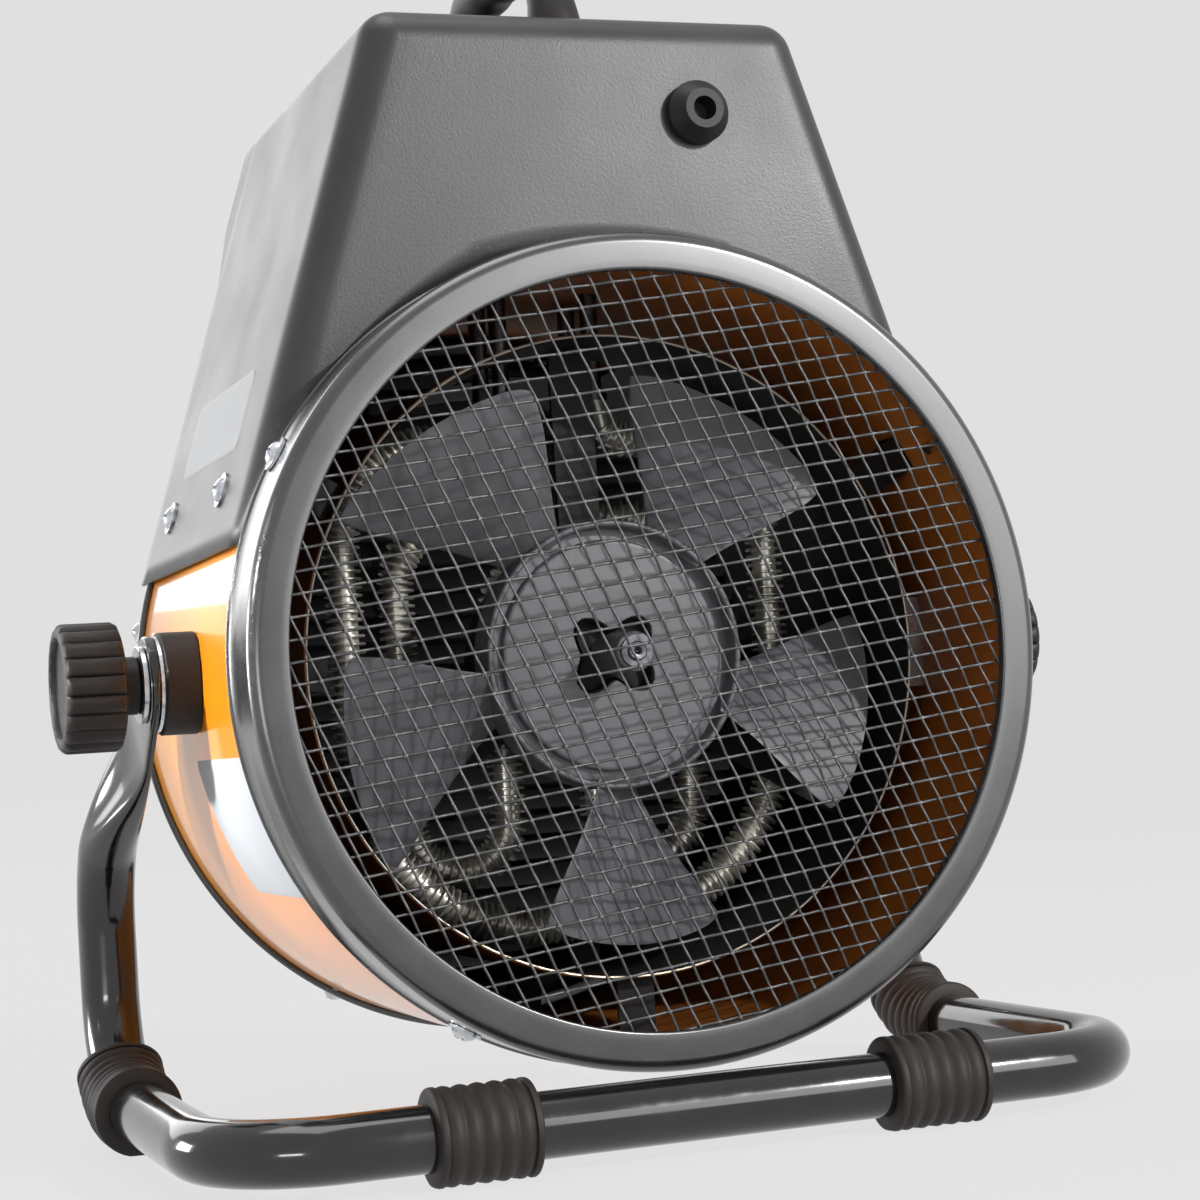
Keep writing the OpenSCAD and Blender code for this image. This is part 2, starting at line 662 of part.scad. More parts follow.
// Round overheat switch on a foot that lies on the drum
module thermal_cutout() {
    color("saddlebrown") around(68, 146, drum_r + seat_gap) {
        translate([-9, -14, 0]) difference() {
            cube([18, 28, 1.8]);
            for (y = [3, 25]) translate([9, y, -1]) cylinder(r = 1.6, h = 4, $fn = 32);
        }
        cylinder(r = 8.5, h = 9);
        for (y = [-5, 5]) translate([-3, y - 0.4, 8]) cube([6, 0.8, 9]);
    }
}

// Solid of the box: rounded along the rear and top edges, flat in front
module box_solid(inset, front) {
    r = corner_r - inset;
    low_s = -20;
    low_x = core_r * cos(wall_slope) - low_s * sin(wall_slope);
    low_up = core_r * sin(wall_slope) + low_s * cos(wall_slope);
    hull() for (side = [-1, 1], p = [[low_x, low_up], [corner_x, corner_up]]) {
        translate([side * p[0], p[1], box_rear + corner_r]) sphere(r = r, $fn = 32);
        translate([side * p[0], p[1], front - 1]) cylinder(r = r, h = 1, $fn = 32);
    }
}

handle_depths = [(box_rear + box_front - handle_span) / 2, (box_rear + box_front + handle_span) / 2];

module box_cover() {
    color("dimgray") difference() {
        at_axis() intersection() {
            difference() {
                box_solid(0, box_front);
                box_solid(sheet_t, box_front + 2);
            }
            translate([-ring_d, foot_up, 0]) cube([2 * ring_d, 2 * box_top, 2 * drum_l]);
        }
        at_axis() translate([0, 0, box_rear - 5]) cylinder(r = wall_r - sheet_t, h = drum_l, $fn = 128);
        for (d = wall_screw_depths) on_walls(d, wall_screw_s, -6) cylinder(r = screw_clear_r, h = 12, $fn = 32);
        at_axis() translate([gland_x, gland_up, box_rear - 2]) cylinder(d = gland_thread_d + 0.4, h = 6);
        for (d = handle_depths) at_axis() translate([0, box_top - 4, d]) rotate([-90, 0, 0]) cylinder(r = screw_clear_r, h = 8, $fn = 32);
    }
}

// Strips between the drum and the box walls that take the side screws
module box_rails() {
    rail_low = 9;
    rail_w = 24;
    rail_rear = box_rear + corner_r + 0.5;
    color("silver") for (side = [0, 1]) difference() {
        at_axis() mirror([side, 0, 0]) translate([0, 0, rail_rear]) linear_extrude(box_front - 6 - rail_rear) difference() {
            rotate(wall_slope) translate([drum_r - 12, rail_low]) square([wall_r - sheet_t - 2 * seat_gap - drum_r + 12, rail_w]);
            circle(r = ring_r + seat_gap, $fn = 360);
        }
        for (d = wall_screw_depths) on_walls(d, wall_screw_s, -14) cylinder(r = screw_fit_r, h = 16, $fn = 32);
    }
}

// Outline of the box seen from the front, inset by a sheet
function half_outline(inset) = concat(
    [[(wall_r - inset) * cos(wall_slope), (wall_r - inset) * sin(wall_slope)]],
    arc([corner_x, corner_up], corner_r - inset, wall_slope, 90, 6)
);
function box_outline(inset) = concat(
    half_outline(inset),
    [for (i = [len(half_outline(inset)) - 1 : -1 : 0]) [-half_outline(inset)[i][0], half_outline(inset)[i][1]]]
);

module front_plate() {
    color("dimgray") at_axis() difference() {
        translate([0, 0, plate_depth]) linear_extrude(sheet_t) difference() {
            intersection() {
                polygon(box_outline(sheet_t + seat_gap));
                translate([-ring_d, plate_low]) square([2 * ring_d, box_top]);
            }
            circle(r = wall_r - sheet_t + 0.2, $fn = 128);
        }
        for (x = [-knob_x, knob_x]) translate([x, knob_up, plate_depth - 1]) cylinder(r = neck_r + seat_gap, h = sheet_t + 2);
        translate([0, knob_up, plate_depth - 1]) cylinder(d = lamp_d + 0.2, h = sheet_t + 2);
    }
}
neck_r = 5;

// Panel profile: depth in front of the box, height above the axis
function panel_profile(inset) =
    let (out = panel_out - inset, low = panel_low + inset, high = box_top - (inset > 0 ? inset : 0))
    concat(
        [[-0.5, low], [0, low], [out, low + panel_slope_h]],
        arc([out - 5, high - 5], 5, 0, 90, 6),
        [[-0.5, high]]
    );

module panel_block(inset) {
    intersection() {
        at_axis() translate([0, 0, box_front + 0.5 + seat_gap]) rotate([0, -90, 0])
            linear_extrude(2 * ring_d, center = true) polygon(panel_profile(inset));
        at_axis() translate([0, 0, box_front - 3]) linear_extrude(3 * panel_out) polygon(box_outline(inset));
    }
}

module control_panel() {
    color("dimgray") difference() {
        panel_block(0);
        translate([0, 1, 0]) panel_block(panel_t);
        for (x = [-knob_x, knob_x]) at_axis() translate([x, knob_up, box_front]) cylinder(r = control_shaft_r + 0.6, h = 2 * panel_out);
        at_axis() translate([0, knob_up, box_front]) cylinder(d = lamp_d + 0.2, h = 2 * panel_out);
    }
}

// Switch body behind the front plate with a threaded neck and its nut
module control_body(x, w, h, l) {
    at_axis() difference() {
        union() {
            translate([x - w / 2, knob_up - h / 2, plate_depth - l - seat_gap]) cube([w, h, l]);
            translate([x, knob_up, plate_depth - 1]) cylinder(r = neck_r, h = 8);
            translate([x, knob_up, plate_depth + sheet_t + seat_gap]) cylinder(r = neck_r + 3, h = 2.5, $fn = 6);
        }
        translate([x, knob_up, plate_depth - 12]) cylinder(r = control_shaft_r + running_gap, h = 40);
    }
}

switch_l = 34;
thermostat_l = 24;

module mode_switch() {
    color("white") control_body(-knob_x, 28, 28, switch_l);
}

module thermostat() {
    color("white") control_body(knob_x, 26, 30, thermostat_l);
}

module pilot_lamp() {
    color("red") at_axis() {
        translate([0, knob_up, plate_depth - 14]) cylinder(d = lamp_d, h = panel_face - plate_depth + 14 + 0.8);
        translate([0, knob_up, panel_face + 0.6]) cylinder(d = lamp_d + 4, h = 1.4);
    }
}

module control_shaft(x) {
    at_axis() translate([x, knob_up, plate_depth - 11]) cylinder(r = control_shaft_r, h = panel_face + control_gap + 8 - plate_depth + 11);
}

// Round control knob with a raised grip across its face
module control_knob(x, turn) {
    base = panel_face + control_gap;
    at_axis() translate([x, knob_up, base]) difference() {
        union() {
            cylinder(d = control_d, h = 4);
            cylinder(d1 = control_d - 2, d2 = control_d - 5, h = control_h - 4);
            intersection() {
                cylinder(d = control_d - 3, h = control_h);
                rotate([0, 0, turn]) translate([-3.5, -control_d / 2, 0]) cube([7, control_d, control_h]);
            }
        }
        translate([0, 0, -1]) cylinder(r = control_shaft_r + seat_gap, h = 9 + seat_gap);
        rotate([0, 0, turn]) translate([-0.8, 3, control_h - 1]) cube([1.6, control_d / 2 - 5, 3]);
    }
}

module mode_knob() {
    color("black") control_knob(-knob_x, 0);
}

module mode_shaft() {
    color("silver") control_shaft(-knob_x);
}

module thermostat_knob() {
    color("black") control_knob(knob_x, 135);
}

module thermostat_shaft() {
    color("silver") control_shaft(knob_x);
}

block_up = drum_r + 8.3;
block_depth = 48;

// Terminal block on a foot that stands on the drum's crown
module terminal_block() {
    w = 56;
    color("ivory") at_axis() difference() {
        union() {
            translate([-w / 2, block_up, block_depth]) cube([w, 15, 20]);
            translate([-w / 2 + 6, drum_r - 2, block_depth + 4]) cube([w - 12, block_up - drum_r + 3, 12]);
        }
        translate([0, 0, block_depth - 1]) cylinder(r = drum_r + seat_gap, h = 30, $fn = 128);
        for (i = [-2 : 2]) translate([i * 11, block_up + 8, block_depth + 10]) rotate([-90, 0, 0]) cylinder(r = 2.5, h = 10, $fn = 32);
    }
}

// One lead: from one end to the other in an arch, in across, up, depth
module lead(from, to, rise) {
    steps = 6;
    points = [for (i = [0 : steps]) from + (to - from) * i / steps + [0, rise * sin(180 * i / steps), 0]];
    for (i = [0 : steps - 1]) hull() {
        translate(points[i]) sphere(d = lead_d, $fn = 8);
        translate(points[i + 1]) sphere(d = lead_d, $fn = 8);
    }
}
lead_d = 2.6;
lead_gap = lead_d / 2 + 0.3;
pin_top = element_end_up + lead_gap;

module lead_wires() {
    switch_end = [-knob_x, knob_up - 8, plate_depth - switch_l - lead_gap - seat_gap];
    thermostat_end = [knob_x, knob_up - 8, plate_depth - thermostat_l - lead_gap - seat_gap];
    color("firebrick") at_axis() {
        lead([-loop_gap, pin_top, outer_depth], switch_end, 5);
        lead([loop_gap, pin_top, inner_depth], thermostat_end, 4);
        lead([loop_gap, pin_top, outer_depth], [11, block_up + 15 + lead_gap, block_depth + 12], 8);
    }
}

gland_thread_d = 15;

module cord_gland() {
    color("black") at_axis() difference() {
        union() {
            translate([gland_x, gland_up, box_rear - 8 - seat_gap]) cylinder(d1 = gland_bore + 5, d2 = gland_d, h = 5);
            translate([gland_x, gland_up, box_rear - 3 - seat_gap - eps]) cylinder(d = gland_d, h = 3 + eps);
            translate([gland_x, gland_up, box_rear - 1]) cylinder(d = gland_thread_d, h = 10);
        }
        translate([gland_x, gland_up, box_rear - 12]) cylinder(d = gland_bore, h = 30);
    }
}

module gland_nut() {
    color("black") at_axis() difference() {
        translate([gland_x, gland_up, box_rear + sheet_t + seat_gap]) cylinder(r = gland_d / 2 + 1, h = 4, $fn = 6);
        translate([gland_x, gland_up, box_rear]) cylinder(d = gland_thread_d + 2 * seat_gap, h = 10);
    }
}

// Bow handle: two feet, two legs and a thick grip along the drum
module carry_handle() {
    r = handle_d / 2;
    top = box_top + handle_h - r;
    color("black") difference() {
        at_axis() union() {
            for (e = [0, 1]) {
                d = handle_depths[e];
                inward = e == 0 ? 12 : -12;
                hull() {
                    translate([0, box_top + seat_gap, d]) rotate([-90, 0, 0]) cylinder(r = r, h = 3, $fn = 32);
                    translate([0, top, d + inward]) sphere(r = r * 0.92, $fn = 32);
                }
            }
            hull() for (e = [0, 1]) translate([0, top, handle_depths[e] + (e == 0 ? 12 : -12)]) sphere(r = r, $fn = 32);
        }
        for (d = handle_depths) at_axis() translate([0, box_top - 1, d]) rotate([-90, 0, 0]) cylinder(r = screw_fit_r, h = 14, $fn = 32);
    }
}

module handle_screws() {
    color("silver") for (d = handle_depths) at_axis() translate([0, box_top - sheet_t - seat_gap, d]) rotate([90, 0, 0]) screw(11);
}

module box_screws() {
    color("silver") for (d = wall_screw_depths) on_walls(d, wall_screw_s, seat_gap) screw(2.6);
}

module ring_screws() {
    color("silver") for (a = ring_screw_angles) around(a, ring_screw_depth, ring_r + 0.2) screw();
}

module outlet_screws() {
    color("silver") for (a = outlet_screw_angles) around(a, outlet_screw_depth, ring_r + 0.1) scale(0.72) screw();
}

// Blocks behind the drum wall that the clamp studs thread into
module pivot_nuts() {
    color("silver") for (side = [0, 1]) difference() {
        intersection() {
            on_pivot(side, nut_x - 4) translate([-15, -15, 0]) cube([30, 30, nut_t + 4]);
            at_axis() cylinder(r = drum_bore_r - 2 * seat_gap, h = drum_l, $fn = 128);
        }
        on_pivot(side, nut_x - 5) cylinder(r = stud_r + running_gap, h = 20);
    }
}

module pivot_spacers() {
    color("black") for (side = [0, 1]) difference() {
        on_pivot(side, drum_r - 6) washer(spacer_d / 2, stud_r + 0.3, spacer_l + 6);
        at_axis() cylinder(r = drum_r + seat_gap, h = drum_l, $fn = 128);
    }
}

// Clamp knob: a collar and a ribbed grip with a hollowed face
function rib_radius(a) = clamp_d / 2 - 0.9 + 0.9 * pow(abs(cos(a * clamp_ribs / 2)), 0.6);
module clamp_knob(side) {
    steps = 6 * clamp_ribs;
    dish = 2.5;
    on_pivot(side, collar_x) difference() {
        union() {
            cylinder(d = collar_d, h = collar_l + eps);
            translate([0, 0, collar_l]) linear_extrude(clamp_l - 1.5)
                polygon([for (i = [0 : steps - 1]) rib_radius(i * 360 / steps) * [cos(i * 360 / steps), sin(i * 360 / steps)]]);
            translate([0, 0, collar_l + clamp_l - 1.5 - eps]) cylinder(d1 = clamp_d - 2, d2 = clamp_d - 5, h = 1.5 + eps);
        }
        translate([0, 0, collar_l + clamp_l - dish]) cylinder(d = clamp_d - 8, h = dish + 1);
        translate([0, 0, -1]) cylinder(r = stud_r + seat_gap, h = collar_l + 9);
    }
}

module stud(side) {
    on_pivot(side, nut_x - 1) cylinder(r = stud_r, h = clamp_x - nut_x + 8);
}

module left_clamp_knob() {
    color("black") clamp_knob(0);
}

module left_stud() {
    color("silver") stud(0);
}

module right_clamp_knob() {
    color("black") clamp_knob(1);
}

module right_stud() {
    color("silver") stud(1);
}

module friction_washers() {
    color("silver") for (side = [0, 1]) on_pivot(side, friction_x) washer(spacer_d / 2 - 1, stud_r + running_gap, friction_t);
}

module clamp_washers() {
    color("silver") for (side = [0, 1]) on_pivot(side, clamp_washer_x) washer(washer_d / 2, stud_r + running_gap, washer_t);
}

// Straight stretch of hollow tube along Z
module pipe(l) {
    washer(tube_r, tube_r - tube_t, l);
}

// Bend of hollow tube about Z, from angle a0 through a1 degrees
module pipe_bend(r, a0, a1) {
    rotate([0, 0, a0]) rotate_extrude(angle = a1 - a0) translate([r, 0]) difference() {
        circle(r = tube_r, $fn = 48);
        circle(r = tube_r - tube_t, $fn = 48);
    }
}

// Draws in the side plane of one arm: X is Y behind the tilt axis, Y is the height
module side_plane(x) {
    translate([x, pivot_y, 0]) rotate([90, 0, 90]) children();
}

// One arm with its flattened end, its bend, its floor run and half of the cross tube
module half_stand() {
    side_plane(0) translate([0, axis_h, 0]) rotate([0, 0, -90 - arm_slope]) {
        translate([0, 0, flat_x]) cylinder(d = flat_w, h = flat_t);
        translate([0, -strap_w / 2, flat_x]) cube([flat_l, strap_w, flat_t]);
        hull() {
            translate([flat_l, -strap_w / 2, flat_x]) cube([1, strap_w, flat_t]);
            translate([arm_start_l - 1, 0, tube_x]) rotate([0, 90, 0]) cylinder(r = tube_r - 0.05, h = 1.3, $fn = 32);
        }
    }
    side_plane(tube_x) {
        translate([arm_bend_u, arm_bend_h, 0]) mirror([0, 1, 0]) pipe_bend(arm_bend_r, 180, 180 + arm_slope);
        translate([-arm_reach, floor_bend_h, 0]) rotate([-90, 0, 0]) pipe(arm_bend_h - floor_bend_h);
        translate([floor_bend_u, floor_bend_h, 0]) pipe_bend(floor_bend_r, 180, 270);
        translate([floor_bend_u, run_h, 0]) rotate([0, 90, 0]) pipe(corner_u - floor_bend_u);
    }
    translate([tube_x - corner_bend_r, pivot_y + corner_u, run_h]) pipe_bend(corner_bend_r, 0, 90);
    translate([0, pivot_y + cross_u, run_h]) rotate([0, 90, 0]) pipe(tube_x - corner_bend_r);
}

module stand_tube() {
    color("black") difference() {
        union() {
            half_stand();
            mirror([1, 0, 0]) half_stand();
        }
        for (side = [0, 1]) on_pivot(side, flat_x - 1) cylinder(r = stud_r + running_gap, h = flat_t + 2);
    }
}

// Rubber sleeves round the floor bends, cut flat where they stand
module front_feet() {
    turn = 45;
    color("black") for (side = [0, 1]) mirror([side, 0, 0]) intersection() {
        side_plane(tube_x) {
            translate([floor_bend_u, floor_bend_h, 0]) mirror([1, 0, 0]) rotate([0, 0, 270]) rotate_extrude(angle = turn) translate([floor_bend_r, 0])
                difference() {
                    circle(r = foot_r, $fn = 64);
                    circle(r = tube_r + seat_gap, $fn = 64);
                }
            translate([floor_bend_u, run_h, 0]) rotate([0, 90, 0]) washer(foot_r, tube_r + seat_gap, foot_straight);
        }
        translate([0, -ring_d, 0]) cube([ring_d, 2 * ring_d, axis_h]);
    }
}

module rear_feet() {
    color("black") for (side = [-1, 1]) intersection() {
        translate([side * rear_foot_x - rear_foot_l / 2, pivot_y + cross_u, run_h]) rotate([0, 90, 0])
            washer(foot_r, tube_r + seat_gap, rear_foot_l);
        translate([-ring_d, 0, 0]) cube([2 * ring_d, 2 * ring_d, axis_h]);
    }
}

drum_shell();
intake_ring();
outlet_ring();
intake_mesh();
outlet_guard();
heat_shield();
shield_brackets();
fan();
fan_shaft();
fan_clip();
motor();
motor_bracket();
motor_bolts();
outer_element();
inner_element();
element_brackets();
terminal_plate();
terminal_bushes();
terminal_nuts();
thermal_cutout();
box_cover();
box_rails();
front_plate();
control_panel();
mode_switch();
thermostat();
pilot_lamp();
terminal_block();
lead_wires();
cord_gland();
gland_nut();
carry_handle();
handle_screws();
mode_knob();
mode_shaft();
thermostat_knob();
thermostat_shaft();
box_screws();
ring_screws();
outlet_screws();
pivot_nuts();
pivot_spacers();
left_clamp_knob();
left_stud();
right_clamp_knob();
right_stud();
friction_washers();
clamp_washers();
stand_tube();
front_feet();
rear_feet();
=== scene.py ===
"""Looks of a drum fan heater: sheet-metal drum and rings, wire mesh, fan, finned elements, control box, tube stand.

Every piece is worked out in millimetres from the drum's axis as across (X), up, and depth from the back ring's
face towards the outlet. The function "at" turns that into the frame's metres.
"""

import json

import bmesh
import bpy
import numpy as np
from mathutils import Matrix, Quaternion, Vector


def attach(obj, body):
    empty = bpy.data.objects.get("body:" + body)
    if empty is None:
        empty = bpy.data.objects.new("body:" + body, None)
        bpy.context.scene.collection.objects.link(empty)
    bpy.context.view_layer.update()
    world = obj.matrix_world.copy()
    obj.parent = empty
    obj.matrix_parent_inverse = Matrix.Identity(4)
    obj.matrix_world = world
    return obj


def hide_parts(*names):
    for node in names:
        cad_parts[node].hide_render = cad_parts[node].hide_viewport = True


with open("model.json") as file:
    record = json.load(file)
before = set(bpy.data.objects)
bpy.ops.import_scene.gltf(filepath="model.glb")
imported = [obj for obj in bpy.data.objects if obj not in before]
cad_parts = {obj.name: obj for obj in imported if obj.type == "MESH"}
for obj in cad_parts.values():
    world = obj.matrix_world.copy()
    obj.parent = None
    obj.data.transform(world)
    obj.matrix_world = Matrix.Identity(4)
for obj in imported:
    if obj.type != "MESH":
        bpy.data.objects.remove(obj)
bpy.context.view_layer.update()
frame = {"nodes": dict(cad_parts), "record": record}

# Places and sizes shared by several pieces, in millimetres
REAR_Y = 94.75  # the back ring's face, in Y of the frame
AXIS_Z = 147.0  # height of the drum's axis over the floor
PIVOT_Y = 6.75  # the tilt axis, in Y of the frame
RING_R = 125.0
DRUM_R = 123.7
DRUM_SHEET = 1.0
DRUM_L = 186.0  # from the back ring's face to the front ring's
INTAKE_R = 113.0
OUTLET_R = 112.0
TAU = 2 * np.pi


# ---------------------------------------------------------------- shapes


def at(across, up, depth):
    """Across, up and depth in millimetres, as places in the frame in metres:
    X = across, Y = REAR_Y - depth, Z = AXIS_Z + up."""
    across, up, depth = np.broadcast_arrays(across, up, depth)
    return np.stack([across, REAR_Y - depth, AXIS_Z + up], axis=-1) * 0.001


def turned(radius, angle, depth):
    """Radius and angle (degrees, from across towards up) about the drum's axis, as places in metres."""
    a = np.radians(angle)
    return at(radius * np.cos(a), radius * np.sin(a), depth)


def sheet(points, wrap_u=False, wrap_v=False):
    """Quads between neighbouring points of a grid (rows, columns, 3). A wrapped direction joins its last points to
    its first."""
    rows, cols = points.shape[:2]
    index = np.arange(rows * cols).reshape(rows, cols)
    if wrap_u:
        index = np.vstack([index, index[:1]])
    if wrap_v:
        index = np.hstack([index, index[:, :1]])
    quads = np.stack([index[:-1, :-1], index[1:, :-1], index[1:, 1:], index[:-1, 1:]], axis=-1).reshape(-1, 4)
    return points.reshape(-1, 3), quads


def sheets(points, wrap_u=False, wrap_v=False):
    """The same grid of quads for a whole stack of grids (count, rows, columns, 3)."""
    count, rows, cols = points.shape[:3]
    quads = sheet(points[0], wrap_u, wrap_v)[1]
    first = (np.arange(count) * rows * cols)[:, None, None]
    return points.reshape(-1, 3), (quads[None] + first).reshape(-1, 4)


def ends_closed(points):
    """Each grid of a stack (count, rows, columns, 3) with both end rows drawn to their middles."""
    first = points[:, :1].mean(axis=2, keepdims=True) + 0 * points[:, :1]
    last = points[:, -1:].mean(axis=2, keepdims=True) + 0 * points[:, -1:]
    return np.concatenate([first, points, last], axis=1)


def full_turn(steps):
    """Angles of one turn in radians, without the one that closes it."""
    return np.linspace(0, TAU, steps, endpoint=False)


def unit(vectors):
    """Rows of vectors at length 1."""
    return vectors / np.linalg.norm(vectors, axis=1)[:, None]


def run_of(line):
    """Distance along a line of points, from its first point to each."""
    return np.concatenate([[0], np.cumsum(np.linalg.norm(np.diff(line, axis=0), axis=1))])


def along_line(place, run, line):
    """Points of a line at given distances along it."""
    return np.stack([np.interp(place, run, line[:, k]) for k in range(line.shape[1])], -1)


def lathe(profile, steps=192, closed=True):
    """A profile of (radius, depth) carried once round the drum's axis. closed joins its last point to its first."""
    p = np.asarray(profile, float)
    a = np.linspace(0, 360, steps, endpoint=False)
    return sheet(turned(p[None, :, 0], a[:, None], p[None, :, 1]), wrap_u=True, wrap_v=closed)


def arc(cx, cy, radius, start, end, steps=8):
    """Points of an arc in the plane, from one angle to another in degrees."""
    a = np.radians(np.linspace(start, end, steps))
    return np.stack([cx + radius * np.cos(a), cy + radius * np.sin(a)], axis=-1)


def carried(path, side, section):
    """A flat section (columns of side, lift) carried along a path. side is the direction of the section's first axis,
    and its second axis is tangent x side. section is (points, 2) or (stations, points, 2)."""
    path = np.asarray(path, float)
    tangent = unit(np.gradient(path, axis=0))
    side = np.broadcast_to(side, path.shape)
    side = unit(side - tangent * (side * tangent).sum(1)[:, None])
    lift = np.cross(tangent, side)
    section = np.broadcast_to(section, (len(path),) + np.shape(section)[-2:])
    return path[:, None] + side[:, None] * section[..., :1] + lift[:, None] * section[..., 1:]


def capped(points):
    """Rows of closed sections with both ends drawn to their middles."""
    return ends_closed(points[None])[0]


def ring_section(radius, steps=16):
    """Points of a round section."""
    a = full_turn(steps)
    return np.stack([radius * np.cos(a), radius * np.sin(a)], axis=-1)


def piece(name, shapes, material, body, replaces=(), crease=35, outward=True):
    """One object from a list of (points, quads), smooth up to the crease angle, riding on its body. It takes the
    place of the CAD nodes in replaces. outward turns the faces of closed shapes outwards."""
    points, quads, start = [], [], 0
    for verts, faces in shapes:
        points.append(verts)
        quads.append(faces + start)
        start += len(verts)
    points, quads = np.concatenate(points), np.concatenate(quads)
    mesh = bpy.data.meshes.new(name)
    mesh.vertices.add(len(points))
    mesh.vertices.foreach_set("co", points.ravel())
    mesh.loops.add(quads.size)
    mesh.loops.foreach_set("vertex_index", quads.ravel())
    mesh.polygons.add(len(quads))
    mesh.polygons.foreach_set("loop_start", np.arange(0, quads.size, 4))
    mesh.update(calc_edges=True)
    mesh.validate()
    shape = bmesh.new()
    shape.from_mesh(mesh)
    bmesh.ops.remove_doubles(shape, verts=shape.verts, dist=2e-6)
    if outward:
        bmesh.ops.recalc_face_normals(shape, faces=shape.faces)
    shape.to_mesh(mesh)
    shape.free()
    mesh.polygons.foreach_set("use_smooth", np.ones(len(mesh.polygons), bool))
    mesh.set_sharp_from_angle(angle=np.radians(crease))
    mesh.materials.append(material)
    obj = bpy.data.objects.new(name, mesh)
    bpy.context.scene.collection.objects.link(obj)
    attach(obj, body)
    if replaces:
        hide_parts(*replaces)
    return obj


# ---------------------------------------------------------------- materials


def linear(code, alpha=1.0):
    """An sRGB hex colour as linear light: (c + 0.055) / 1.055 to the power 2.4 above 0.04045, c / 12.92 below."""
    c = np.array([int(code[i : i + 2], 16) for i in (1, 3, 5)]) / 255
    return (*np.where(c <= 0.04045, c / 12.92, ((c + 0.055) / 1.055) ** 2.4), alpha)


def add(tree, kind, settings=None, **links):
    """Adds a node. Settings name its attributes or sockets. Links name sockets, or give their number after an i, and
    what feeds them."""
    node = tree.nodes.new(kind)
    for key, value in (settings or {}).items():
        if isinstance(key, str) and hasattr(node, key):
            setattr(node, key, value)
        else:
            node.inputs[key].default_value = value
    for key, source in links.items():
        numbered = key[0] == "i" and key[1:].isdigit()
        socket = node.inputs[int(key[1:])] if numbered else node.inputs[key.replace("_", " ")]
        tree.links.new(source, socket)
    return node


def finish(name, settings):
    """A new material with its Principled shader and Object coordinates."""
    material = bpy.data.materials.new(name)
    material.use_nodes = True
    tree = material.node_tree
    shader = tree.nodes["Principled BSDF"]
    for key, value in settings.items():
        shader.inputs[key].default_value = value
    place = add(tree, "ShaderNodeTexCoord").outputs["Object"]
    return material, tree, shader, place


def tint(tree, factor, low, high, start=0.3, end=0.7):
    """A colour ramp between two hex colours."""
    ramp = add(tree, "ShaderNodeValToRGB", i0=factor)
    ramp.color_ramp.elements[0].position = start
    ramp.color_ramp.elements[0].color = linear(low)
    ramp.color_ramp.elements[1].position = end
    ramp.color_ramp.elements[1].color = linear(high)
    return ramp.outputs["Color"]


def span(tree, factor, low, high, start=0.0, end=1.0):
    """A value stretched from one range to another."""
    settings = {"From Min": start, "From Max": end, "To Min": low, "To Max": high}
    return add(tree, "ShaderNodeMapRange", settings, Value=factor).outputs["Result"]


def rough(tree, shader, height, strength, distance):
    """Joins a height to the shader's normal; distance is in metres."""
    bump = add(tree, "ShaderNodeBump", {"Strength": strength, "Distance": distance}, Height=height)
    tree.links.new(bump.outputs["Normal"], shader.inputs["Normal"])


def noise(tree, place, scale, detail, **more):
    """A noise pattern; scale is in cells to the metre."""
    settings = {"Scale": scale, "Detail": detail, **more}
    return add(tree, "ShaderNodeTexNoise", settings, Vector=place).outputs["Fac"]


def gloss_enamel():
    """Stoved gloss enamel on steel sheet: clear deep colour, sharp reflections, a faint orange peel 3 mm across."""
    m, t, s, place = finish("gloss enamel, orange", {"Roughness": 0.32, "Coat Weight": 0.7, "Coat Roughness": 0.05})
    peel = noise(t, place, 330.0, 2.0)
    shade = noise(t, place, 14.0, 3.0)
    t.links.new(tint(t, shade, "#f18f12", "#f69f12", 0.35, 0.65), s.inputs["Base Color"])
    rough(t, s, peel, 0.06, 0.0004)
    return m


def satin_enamel():
    """Satin black enamel on pressed steel: soft wide reflections, lightly rubbed."""
    gloss_level = {"Specular IOR Level": 0.85, "Coat Weight": 0.8, "Coat Roughness": 0.24}
    m, t, s, place = finish("satin enamel, black", gloss_level)
    cloud = noise(t, place, 60.0, 5.0)
    grain = noise(t, place, 900.0, 2.0)
    t.links.new(tint(t, cloud, "#1e1e20", "#252527", 0.35, 0.65), s.inputs["Base Color"])
    t.links.new(span(t, cloud, 0.24, 0.3, 0.3, 0.7), s.inputs["Roughness"])
    rough(t, s, grain, 0.015, 0.0002)
    return m


def powder_coat():
    """Fine-texture powder coat: a skin of 0.7 mm grains that breaks up reflections."""
    m, t, s, place = finish("powder coat, fine texture black", {"Specular IOR Level": 0.6})
    grain = noise(t, place, 1500.0, 3.0, Roughness=0.6)
    cloud = noise(t, place, 25.0, 4.0)
    t.links.new(tint(t, cloud, "#262628", "#2e2e30", 0.35, 0.65), s.inputs["Base Color"])
    t.links.new(span(t, cloud, 0.36, 0.44, 0.3, 0.7), s.inputs["Roughness"])
    rough(t, s, grain, 0.35, 0.0002)
    return m


def gloss_black():
    """Gloss black paint on tube: deep black with sharp highlights and a few dull rubs."""
    m, t, s, place = finish("gloss paint, black", {"Roughness": 0.16, "Coat Weight": 0.5, "Coat Roughness": 0.04})
    rub = noise(t, place, 45.0, 6.0, Roughness=0.65)
    t.links.new(tint(t, rub, "#101011", "#18181a", 0.4, 0.7), s.inputs["Base Color"])
    t.links.new(span(t, rub, 0.12, 0.26, 0.45, 0.75), s.inputs["Roughness"])
    return m


